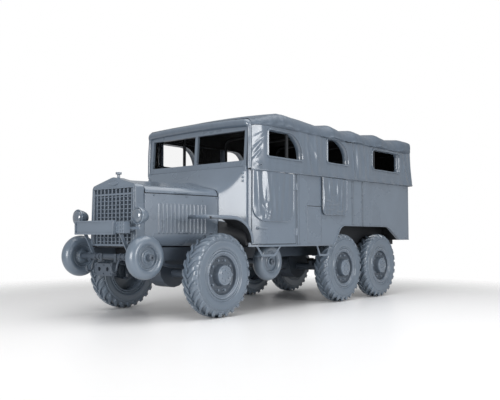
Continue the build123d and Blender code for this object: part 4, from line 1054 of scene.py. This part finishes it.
@dataclass
class WindowFlaps:
    """Flaps that hang below the windows: one on each door and one on each side wall."""

    door: Flap = Flap(3.040, 2.327, 1.110, 1.720, 0.16, (
        (3.00, 1.70, 2.97, 1.22, 0.020, 0.030), (2.93, 1.70, 2.90, 1.30, -0.009, 0.026),
        (2.86, 1.70, 2.82, 1.36, 0.014, 0.020), (2.80, 1.70, 2.78, 1.40, -0.005, 0.018),
        (2.92, 1.30, 2.82, 1.16, 0.012, 0.014), (2.85, 1.32, 2.87, 1.14, 0.011, 0.013),
        (2.78, 1.26, 2.84, 1.13, 0.010, 0.013), (2.74, 1.60, 2.70, 1.20, 0.006, 0.020),
        (2.62, 1.70, 2.60, 1.16, 0.005, 0.028), (2.50, 1.70, 2.52, 1.16, -0.004, 0.026),
        (2.42, 1.70, 2.46, 1.18, 0.006, 0.022)))
    side: Flap = Flap(1.681, 1.076, 1.223, 1.725, 0.06, (
        (1.66, 1.72, 1.65, 1.25, 0.012, 0.024), (1.53, 1.72, 1.50, 1.40, 0.009, 0.022),
        (1.43, 1.72, 1.42, 1.45, -0.006, 0.022), (1.33, 1.72, 1.31, 1.42, 0.010, 0.022),
        (1.20, 1.72, 1.22, 1.30, 0.009, 0.022), (1.64, 1.43, 1.42, 1.40, 0.008, 0.012),
        (1.58, 1.36, 1.24, 1.38, 0.008, 0.012), (1.62, 1.29, 1.36, 1.31, 0.007, 0.012),
        (1.50, 1.50, 1.30, 1.47, -0.006, 0.012), (1.40, 1.27, 1.14, 1.29, 0.007, 0.012)), 0.024, 1.3)

    def build(self) -> None:
        """Add each flap with its hem, on the door or on the truck."""
        for hand, side in SIDES.items():
            door = ("door", self.door, f"door_{hand}", f"door_flap_{hand}")
            for kind, flap, body, node in (door, ("side", self.side, "truck", "side_flaps")):
                cloth, edge = flap.surface()
                hem = swept(edge[::2], circle(0.0085, 8), OUT)
                sheet = Piece(f"{kind}_flap_{hand}_cloth", cloth.on_hand(side), CANVAS, body, (node,),
                              CLOTH_SMOOTH, thick=0.003, closed=False).add()
                roll = Piece(f"{kind}_flap_{hand}_hem", hem.on_hand(side), CANVAS, body).add()


def cushion(low: Point, high: Point, square: float = 0.30, crown: float = 0.02) -> Shell:
    """Padded block: a sphere drawn out to a rounded box, with a crowned top and pulled-in sides.

    Args:
        low: Lowest corner.
        high: Highest corner.
        square: Power of the sine and cosine; smaller is squarer.
        crown: Extra height in the middle of the top.

    Returns:
        The closed surface.
    """
    low, high = np.asarray(low, float), np.asarray(high, float)
    a = np.linspace(-np.pi / 2, np.pi / 2, 33)[:, None]
    b = angles(64)[None, :]

    def power(value: Array) -> Array:
        """Signed power of a sine or cosine."""
        return np.sign(value) * np.abs(value) ** square

    wide = power(np.cos(a))
    ball = (wide * power(np.cos(b)), wide * power(np.sin(b)), power(np.sin(a)))
    ball = np.stack(np.broadcast_arrays(*ball), -1)
    ball[..., :2] *= 1 - 0.03 * (1 - ball[..., 2:] ** 2)
    points = (low + high) / 2 + ball * (high - low) / 2
    top = ball[..., 2] > 0
    points[..., 2] += np.where(top, crown * (1 - ball[..., 0] ** 2) * (1 - ball[..., 1] ** 2), 0)
    return grid(points, False, True)


@dataclass
class FrontSeats:
    """Two seats: padded cushion and back on a box base."""

    inner: float = 0.115
    outer: float = 0.595
    lean: float = 0.09

    def build(self) -> None:
        base = boxes([(2.235, 2.715, self.inner + 0.01, self.outer - 0.01, 0.822, 1.02)]).placed()
        pad = cushion((2.29, self.inner, 0.985), (2.728, self.outer, 1.115)).placed()
        back = cushion((-0.052, self.inner, 0.0), (0.052, self.outer, 0.58), 0.32, 0.0)
        back.points[:, 0] -= self.lean * back.points[:, 2]
        back = back.moved((2.263, 0.0, 1.05)).placed()
        Piece("seat_bases", base.both(), CHASSIS, "truck", ("front_seats",), bevel=0.006).add()
        for name, shell in (("seat_cushions", pad), ("seat_backs", back)):
            Piece(name, shell.both(), SEAT).add()


@dataclass
class Nose:
    """Grille ribs, frame, boss and knobs, and the handles and bolts of the bonnet."""

    face: float = 4.408
    frame_back: float = 4.418
    half: float = 0.345
    frame_half: float = 0.372
    boss: Pairs = ((1.0, -0.004), (1.0, 0.006), (0.93, 0.010), (0.80, 0.010), (0.76, 0.007), (0.0, 0.008))
    knob: Pairs = ((0.0, 0.020), (0.010, 0.019), (0.015, 0.013), (0.016, -0.002))
    handle: Rows = ((3.84, 0.468, 0.965), (3.84, 0.500, 0.965), (3.71, 0.518, 0.965), (3.71, 0.486, 0.965))

    def bonnet_half(self, station: Array) -> Array:
        """Half width of the bonnet, which widens evenly towards the scuttle."""
        return 0.405 + (4.295 - station) / 1.025 * 0.145

    def grille(self) -> None:
        """Add thin ribs across the bars, a sheet of painted shade behind them, the frame, an oval boss and two
        knobs.
        """
        half, edge = self.half, self.frame_half
        ribs = [(-half, half, z - 0.006, z + 0.006) for z in np.arange(0.862, 1.375, 0.046)]
        Piece("grille_ribs", slabs(self.face - 0.044, self.face - 0.008, ribs), PAINT, bevel=0.002).add()
        # A sheet of painted shade behind the ribs and bars.
        gaps = [(-half, half, 0.837, 1.385), (-half, half, 1.410, 1.458)]
        Piece("grille_depth", slabs(self.face - 0.0395, self.face - 0.0385, gaps), PAINTED_SHADE).add()
        bars = [(-edge, edge, 0.812, 0.834), (-edge, -0.350, 0.834, 1.462), (0.350, edge, 0.834, 1.462),
                (-edge, edge, 1.462, 1.478)]
        Piece("grille_frame", slabs(self.frame_back, self.frame_back + 0.008, bars), PAINT, bevel=0.003).add()
        t = angles(48)
        share, rise = np.array(self.boss).T[..., None]
        oval = (4.420 + rise, 0.088 * share * np.cos(t), 1.524 + 0.030 * share * np.sin(t))
        boss = grid(np.stack(np.broadcast_arrays(*oval), -1), False, True)
        Piece("grille_boss", boss.placed(), PAINT).add()
        knob = studs([(self.frame_back, 0.27, 0.822)], AHEAD, self.knob, 14)
        Piece("grille_knobs", knob.both().placed(), PAINT).add()

    def build(self) -> None:
        """Add the grille, and on each side the bonnet's handle and bolts and the grip of its lid."""
        self.grille()
        line = np.linspace(4.27, 3.29, 12)[1::5]
        bolt_at = np.stack([line, self.bonnet_half(line) + 0.001, np.full(3, 1.385)], -1)
        bolts = studs(bolt_at, OUT, hex_bolt(0.010, 0.010), 6)
        trim = joined([tube(self.handle, 0.007, bend=0.015), bolts]).placed()
        station = np.array([3.90, 3.90, 3.72, 3.72])
        out = self.bonnet_half(station) - 0.004 + (0.0, 0.028, 0.028, 0.0)
        grip = tube(np.stack([station, out, np.full(4, 1.425)], -1), 0.006, bend=0.012).placed()
        for hand, side in SIDES.items():
            Piece(f"bonnet_side_trim_{hand}", trim.on_hand(side), PAINT).add()
            Piece(f"bonnet_lid_{hand}_grip", grip.on_hand(side), PAINT, f"bonnet_lid_{hand}").add()


@dataclass
class LampBar:
    """Headlamps, blank plate, rivets, tow hooks and the caps of the roller tubes."""

    lamp_at: Tuple[float, float, float] = (4.512, 0.541, 1.143)
    plate: float = 4.645
    bullet: Pairs = (
        (-0.14, 0.0), (-0.139, 0.014), (-0.134, 0.03), (-0.12, 0.05), (-0.095, 0.068), (-0.065, 0.08),
        (-0.035, 0.0855), (-0.018, 0.086), (-0.015, 0.0925), (-0.006, 0.0955), (0.003, 0.0945),
        (0.008, 0.0905), (0.009, 0.085), (0.004, 0.079), (-0.02, 0.072), (-0.07, 0.04), (-0.085, 0.0),
    )
    hook: Rows = ((4.50, 0.222, 0.66), (4.53, 0.222, 0.60), (4.535, 0.222, 0.545), (4.572, 0.222, 0.52),
                  (4.605, 0.222, 0.545), (4.607, 0.222, 0.59))
    cap: Pairs = ((0.0, -0.012), (0.012, -0.012), (0.013, 0.002), (0.028, 0.003), (0.036, -0.002),
                  (0.038, -0.012), (0.034, -0.014))

    def lamps(self) -> None:
        """Add bullet shells on posts and domed lenses, turned about fore-and-aft lines."""
        dome = np.radians(np.linspace(0, 90, 14))
        bulge = np.stack([0.040 * np.cos(dome), 0.0785 * np.sin(dome)], -1)
        lens = turned(np.concatenate([bulge, [(-0.004, 0.0785), (-0.004, 0.0)]]), 64)
        shell, lens = (Shell(s.points[:, [1, 0, 2]], s.quads).moved(self.lamp_at)
                       for s in (turned(self.bullet, 64), lens))
        x, y, _ = self.lamp_at
        post = tube([(x - 0.024, y, 1.024), (x - 0.024, y, 1.085)], 0.014, AHEAD, sides=20)
        Piece("headlamp_shells", joined([shell, post]).both().placed(), LAMP, "truck", ("headlamps",)).add()
        Piece("headlamp_lenses", lens.both().placed(), LENS).add()

    def build(self) -> None:
        """Add the lamps, plate frame, rivets, bolts, hooks and caps."""
        self.lamps()
        edge = [(-0.390, 0.310, 0.940, 0.956), (-0.390, 0.310, 1.079, 1.095), (-0.390, -0.374, 0.956, 1.079),
                (0.294, 0.310, 0.956, 1.079)]
        Piece("plate_frame", slabs(self.plate, self.plate + 0.014, edge), PAINT, bevel=0.002).add()
        corners = [(self.plate + 0.001, y, z) for y in (-0.362, 0.282) for z in (0.965, 1.070)]
        bar_face = [(4.620, y, z) for y in (0.335, 0.385, 0.420) for z in (0.975, 1.018, 1.060)]
        heads = joined([studs(corners, AHEAD, RIVET), studs(bar_face, AHEAD, hex_bolt(0.009, 0.008), 6)])
        Piece("plate_rivets", heads.placed(), PAINT).add()
        Piece("tow_hooks", tube(self.hook, 0.012, OUT, 0.022).both().placed(), CHASSIS).add()
        bolt_at = [(4.545, y, z) for y in (-0.135, 0.0, 0.135) for z in (0.505, 0.600)]
        Piece("tow_bolts", studs(bolt_at, AHEAD, hex_bolt(0.010, 0.010), 6).placed(), CHASSIS).add()
        caps = []
        for at, reach in (((4.441, 0.660, 0.693), 0.040), ((2.570, 0.840, 0.605), 0.010)):
            profile = [(r, reach + h) for r, h in self.cap] + [(0.034, -0.014)]
            caps.append(studs([at], OUT, profile, 32))
        Piece("roller_stub_caps", joined(caps).both().placed(), CHASSIS).add()


@dataclass
class BodyTrim:
    """Lips, beads, rivets, clamps and handles on the body's sides."""

    arch: Rows = ((1.388, 0.0, 0.800), (1.195, 0.0, 1.070), (-0.150, 0.0, 1.070), (-0.500, 0.0, 0.872))
    eyelet: Pairs = ((0.012, 0.000), (0.013, 0.005), (0.017, 0.007), (0.021, 0.005), (0.022, -0.004))
    dome: Pairs = ((0.0, 0.017), (0.009, 0.014), (0.015, 0.007), (0.017, -0.002))
    handle_boss: Pairs = ((0.0, 0.012), (0.014, 0.011), (0.022, 0.006), (0.023, -0.003))
    # Strips of painted shadow along the panel gaps: station from, station to, low and high height.
    seams: Rows = (
        (0.855, 0.866, 1.08, 1.725), (0.895, 0.906, 1.08, 1.725), (0.597, 0.608, 1.08, 1.725),
        (0.617, 0.628, 1.08, 1.725), (2.195, 2.206, 0.8, 1.725), (2.235, 2.246, 0.8, 1.725),
        (1.692, 1.7, 0.843, 1.328), (1.7, 2.014, 1.32, 1.328))
    handle_z: float = 1.020
    lip: Pairs = ((-0.006, -0.008), (0.006, -0.008), (0.006, 0.008), (-0.006, 0.008))

    def strips(self, spans: Sequence[Point], low: float, high: float) -> Shell:
        """Flat strips on both sides, from rows of low and high station and height."""
        return boxes([(*s[:2], BODY_HALF + low, BODY_HALF + high, *s[2:]) for s in spans]).both().placed()

    def fittings(self) -> None:
        """Add rivets, eyelets, and the clamps and domes beside the windscreen."""
        spots = [(x, z) for z in (1.305, 0.860) for x in np.linspace(1.720, 1.995, 8)]
        spots += [(x, z) for x in (1.715, 2.000) for z in np.linspace(0.91, 1.25, 9)]
        spots += [(0.883, z) for z in np.linspace(1.12, 1.68, 13)]
        Piece("panel_rivets", studs(on_side(*np.array(spots).T, 0.005), OUT, RIVET).both(), PAINT).add()
        eyelet = studs(on_side(2.955, 1.79, 0.028), (0.42, 0.91, 0.0), self.eyelet, 24)
        Piece("canvas_eyelets", eyelet.both(), PAINT).add()
        clamp = boxes([(3.100, 3.142, 0.842, 0.882, 1.705, 1.775)])
        Piece("screen_clamps", clamp.both().placed(), PAINT, bevel=0.006).add()
        domes = studs([(3.147, 0.845, z) for z in (1.590, 1.635, 1.680)], (0.92, 0.39, 0.0), self.dome, 16)
        Piece("screen_clamp_domes", domes.both().placed(), PAINT).add()

    def build(self) -> None:
        """Add the trim of both sides; an arch is slanted, level with round corners, and slanted again."""
        edge = rounded_path(np.array(self.arch) + (REAR, BODY_HALF + 0.004, 0.006), 0.10, 10)
        Piece("arch_lips", swept(edge, np.array(self.lip), OUT).both(), PAINT, bevel=0.003).add()
        beads = [(1.395, 2.255, 0.797, 0.813), (-0.838, -0.51, 0.870, 0.884)]
        Piece("sill_beads", self.strips(beads, -0.002, 0.006), PAINT, bevel=0.003).add()
        self.fittings()
        # Dark strips along the panel gaps are painted shadow.
        Piece("panel_seams", self.strips(self.seams, -0.001, 0.0012), PAINTED_SHADE).add()
        post = self.strips([(2.206, 2.240, 0.815, 1.735)], -0.001, 0.007)
        Piece("door_post_strips", post, PAINT, bevel=0.002).add()
        grip = on_side(np.array([2.98, 2.98, 2.86]), np.full(3, self.handle_z), np.array([0.0, 0.034, 0.034]))
        boss = studs(grip[0], (0.36, 0.93, 0.0), self.handle_boss, 20)
        handle = joined([tube(grip, 0.008, bend=0.015), boss])
        for hand, side in SIDES.items():
            Piece(f"door_handle_{hand}", handle.on_hand(side), PAINT, f"door_{hand}").add()


@dataclass
class Cowl:
    """Scuttle skin that rises and widens from the bonnet to the windscreen, firewall and column."""

    front: float = REAR + 3.270
    flat: float = REAR + 3.129
    rear: float = REAR + 3.090
    front_half: Pairs = (
        (0.55, 0.812), (0.55, 1.105), (0.55, 1.111), (0.55, 1.385), (0.55, 1.405), (0.546, 1.437),
        (0.533, 1.467), (0.507, 1.487), (0.47, 1.4995), (0.24, 1.548), (0.0, 1.59),
    )
    rear_half: Pairs = (
        (0.885, 0.812), (0.885, 0.965), (0.885, 0.971), (0.885, 1.695), (0.885, 1.712), (0.884, 1.732),
        (0.88, 1.748), (0.87, 1.758), (0.852, 1.7645), (0.43, 1.766), (0.0, 1.767),
    )
    sag: float = 1.75
    thick: float = 0.018
    column_foot: Tuple[float, float, float] = (REAR + 3.246, 0.400, 1.120)
    column_lean: float = 32.0
    column_length: float = 0.420

    def skin(self) -> Array:
        """Skin between the two sections.

        At a share t of the run the half width is a straight mix of both sections, and the height
        is a mix by t to the power of the sag, so that the top dips like a saddle.

        Returns:
            Rows of points on the left half, from the tail to the bonnet, each from the foot to the crown.
        """
        low, high = np.array(self.front_half), np.array(self.rear_half)
        t = np.linspace(1, 0, 24)[:, None]
        y = low[:, 0] + (high[:, 0] - low[:, 0]) * t
        z = low[:, 1] + (high[:, 1] - low[:, 1]) * t ** self.sag
        x = np.broadcast_to(self.front + (self.flat - self.front) * t, y.shape)
        points = np.stack([x, y, z], -1)
        tail = points[:1] * (0.0, 1.0, 1.0) + (self.rear, 0.0, 0.0)
        return np.concatenate([tail, points])

    def build(self) -> None:
        """Add the skin with painted shade on its inner face, aprons of painted shade below the fenders, the
        firewall in painted shade at its front and the steering column.
        """
        left = self.skin()
        over = np.concatenate([left[:, 1:], left[:, -2:0:-1] * (1.0, -1.0, 1.0)], axis=1)
        # The skin's inner face is painted shade.
        Piece("scuttle_skin", grid(over), PAINT, "truck", ("scuttle",), 32.0, thick=self.thick, lining=PAINTED_SHADE,
              closed=False).add()
        # Aprons of painted shade that darken the space under the fenders.
        Piece("scuttle_aprons", grid(left[:, :2]).both(), PAINTED_SHADE, thick=self.thick, closed=False).add()
        half = np.array(self.front_half[:-1]) - (0.019, 0.0)
        loop = np.concatenate([half, half[::-1] * (-1.0, 1.0)])
        wall = np.stack([np.full(len(loop), self.front - 0.003), loop[:, 0], loop[:, 1] - 0.019], -1)
        fan = np.stack([wall, np.broadcast_to(wall.mean(0), wall.shape)])
        # The firewall is drawn in painted shade.
        Piece("firewall", grid(fan, False, True), PAINTED_SHADE, thick=0.016, closed=False).add()
        lean = math.radians(self.column_lean)
        foot = np.array(self.column_foot)
        tip = foot + self.column_length * np.array([-math.cos(lean), 0.0, math.sin(lean)])
        Piece("steering_column", tube([foot, tip], 0.018, OUT, sides=20), CHASSIS).add()


@dataclass
class Fenders:
    """Front fenders: short nose, level top and a long sweep down to the foot of the scuttle."""

    nose: float = 3.880
    sweep: float = 3.470
    foot: float = 3.097
    top_z: float = 1.160
    foot_z: float = 0.845
    inner: float = 0.660
    cowl_front: float = 3.270
    section: Pairs = (
        (0.0, 0.0), (0.5, 0.003), (0.86, 0.003), (0.94, 0.0), (0.98, -0.007), (1.0, -0.018), (1.0, -0.045),
    )

    def surface(self) -> Shell:
        """Left fender.

        The side line falls as a quarter ellipse from the sweep station to the foot, and the section
        runs from the inner edge, or the scuttle's side where that is wider, to a rolled outer lip.

        Returns:
            The open sheet.
        """
        fall = np.linspace(0, np.pi / 2, 30)
        curve = np.stack([self.sweep - (self.sweep - self.foot) * np.sin(fall),
                          self.foot_z + (self.top_z - self.foot_z) * np.cos(fall)], -1)
        start = np.array([(self.nose, self.top_z - 0.042), (self.nose, self.top_z), (self.sweep, self.top_z)])
        line = np.concatenate([rounded_path(start, 0.018, 6)[:-1], curve])
        along = unit(np.gradient(line, axis=0))
        normal = np.stack([along[:, 1], -along[:, 0]], -1)
        cowl_side = 0.550 + (self.cowl_front - line[:, 0]) / 0.141 * 0.335 - 0.012
        edge = np.clip(cowl_side, self.inner, 0.873)[:, None]
        share, depth = np.array(self.section).T
        y = edge + share * (BODY_HALF - edge)
        x = REAR + line[:, :1] + depth * normal[:, :1]
        return grid(np.stack([x, y, line[:, 1:] + depth * normal[:, 1:]], -1))

    def build(self) -> None:
        """Add both fenders, with painted shade on their undersides."""
        # The fenders' inner faces are painted shade.
        Piece("fender_skins", self.surface().both(), PRESSED, "truck", ("front_fenders",), 40.0, thick=0.006,
              lining=PAINTED_SHADE, closed=False).add()


@dataclass
class SteeringWheel:
    """Round rim, three spokes and a hub on the leaning column."""

    rim_r: float = 0.205
    grip_r: float = 0.014
    hub: Pairs = ((0.0, 0.044), (0.020, 0.043), (0.029, 0.036), (0.030, 0.0), (0.0, 0.0))

    def build(self) -> None:
        """Turn the rim about the joint's axis and set the spokes between it and the hub."""
        joint = next(j for j in frame["joints"] if j["name"] == "steering_wheel_turn")
        axis = unit(np.array(joint["axis"], float))
        centre = np.array(joint["pos_m"], float) + axis * 0.0203

        def spot(turn: Array) -> Array:
            """Direction from the hub at a turn."""
            return np.cos(turn) * np.array(OUT) + np.sin(turn) * np.cross(axis, OUT)

        loop = centre + self.rim_r * spot(angles(64)[:, None])
        rim = swept(loop, circle(self.grip_r, 12), axis, closed=True)
        turns = np.radians([90, 210, 330])
        spokes = [tube([centre, centre + 0.2 * spot(turn)], 0.008, axis) for turn in turns]
        hub = studs([centre - axis * 0.0195], axis, self.hub, 28)
        node = "steering_wheel"
        Piece(f"{node}_look", joined([rim, hub, *spokes]), CHASSIS, node, (node,)).add()


@dataclass
class CadFinishes:
    """Materials of the frame's own nodes."""

    def build(self) -> None:
        """Give each shown node the finish of its slot, painted shade for the nodes under and inside the truck, or
        rounder-edged paint for the pressed panels.
        """
        slots: Dict[str, str] = {p["node"]: p["material_slot"] for p in frame["record"]["subparts"]}
        for name, node in frame["nodes"].items():
            node.data.materials.clear()
            finish = NODE_FINISH[Slot(slots[name])]
            # Nodes under and inside the truck take painted shade instead of their slot's finish.
            finish = PAINTED_SHADE if name in SHADED_NODES else PRESSED if name in PRESSED_NODES else finish
            node.data.materials.append(finish.material())
        LOG.info("%d nodes dressed", len(frame["nodes"]))


@dataclass
class Studio:
    """White room: floor, world, soft lamps and the fitted camera."""

    camera_at: Tuple[float, float, float] = (7.2499, 6.0475, 0.9141)
    camera_turn: Tuple[float, float, float] = (93.20, 0.0, 130.40)
    lens: float = 47.62
    ambient: float = 0.46
    floor_half: float = 60.0
    fade_from: float = 3.4
    fade_to: float = 7.0

    def link(self, name: str, data: bpy.types.ID) -> bpy.types.Object:
        """New object of the scene."""
        thing = bpy.data.objects.new(name, data)
        bpy.context.scene.collection.objects.link(thing)
        return thing

    def floor(self) -> None:
        """Pale floor that keeps the shadow and a faint reflection, and fades out round the truck."""
        mesh = bpy.data.meshes.new("floor")
        h = self.floor_half
        mesh.from_pydata([(-h, -h, 0), (h, -h, 0), (h, h, 0), (-h, h, 0)], [], [(0, 1, 2, 3)])
        made = bpy.data.materials.new("studio_floor")
        made.use_nodes = True
        tree = made.node_tree
        place = add_node(tree, "TexCoord", {})
        away = add_node(tree, "VectorMath", {0: place.outputs["Object"]}, operation="LENGTH")
        reach = {"Value": away.outputs["Value"], "From Min": self.fade_from, "From Max": self.fade_to,
                 "To Min": 1.0, "To Max": 0.0}
        fade = add_node(tree, "MapRange", reach, interpolation_type="SMOOTHSTEP")
        look = {"Base Color": (0.94, 0.94, 0.945, 1.0), "Roughness": 0.32, "Alpha": fade.outputs["Result"]}
        wire(tree, tree.nodes["Principled BSDF"], look)
        mesh.materials.append(made)
        self.link("floor", mesh)

    def world(self) -> None:
        """White behind everything, and an even dim light from all round."""
        world = bpy.data.worlds.new("studio")
        bpy.context.scene.world = world
        world.use_nodes = True
        tree = world.node_tree
        rays = add_node(tree, "LightPath", {}).outputs
        either = {0: rays["Is Camera Ray"], 1: rays["Is Transmission Ray"]}
        seen = add_node(tree, "Math", either, operation="MAXIMUM").outputs["Value"]
        level = add_node(tree, "MapRange", {"Value": seen, "To Min": self.ambient, "To Max": 1.0})
        white = {"Strength": level.outputs["Result"], "Color": (1.0, 1.0, 1.0, 1.0)}
        wire(tree, tree.nodes["Background"], white)

    def lamp(self, name: str, at: Point, toward: Point, size: Point, power: float) -> None:
        """Add a soft rectangular lamp.

        Args:
            name: Its name.
            at: Where it hangs.
            toward: The point it looks at.
            size: Its two sides.
            power: Watts.
        """
        light = bpy.data.lights.new(name, "AREA")
        light.shape = "RECTANGLE"
        light.size, light.size_y = size
        light.energy = power
        thing = self.link(name, light)
        thing.location = at
        thing.rotation_euler = (Vector(toward) - Vector(at)).to_track_quat("-Z", "Y").to_euler()

    def build(self) -> None:
        """Set the floor, the world, the lamps, the camera and the plain view transform."""
        self.floor()
        self.world()
        self.lamp("overhead", (0.5, 1.5, 6.5), (0.0, 0.0, 1.0), (8.0, 6.0), 340.0)
        self.lamp("ahead", (10.5, 2.1, 2.0), (1.2, 0.6, 1.3), (4.4, 3.8), 470.0)
        self.lamp("left", (1.5, 9.0, 2.7), (1.2, 0.5, 1.9), (4.2, 3.2), 340.0)
        data = bpy.data.cameras.new("camera")
        data.lens = self.lens
        data.sensor_width = 36.0
        data.clip_end = 200.0
        camera = self.link("camera", data)
        camera.location = self.camera_at
        camera.rotation_euler = [math.radians(turn) for turn in self.camera_turn]
        bpy.context.scene.camera = camera
        bpy.context.scene.view_settings.view_transform = "Standard"


def main() -> None:
    """Build every sub-assembly."""
    logging.basicConfig(level=logging.INFO, format="%(name)s %(message)s")
    parts = (CadFinishes(), RoadWheels(), GuideRollers(), CanvasTop(), WindowFlaps(), FrontSeats(), Nose(),
             LampBar(), Cowl(), Fenders(), BodyTrim(), SteeringWheel(), Studio())
    for part in parts:
        part.build()
        LOG.info("%s done", type(part).__name__)


if __name__ == "__main__":
    main()
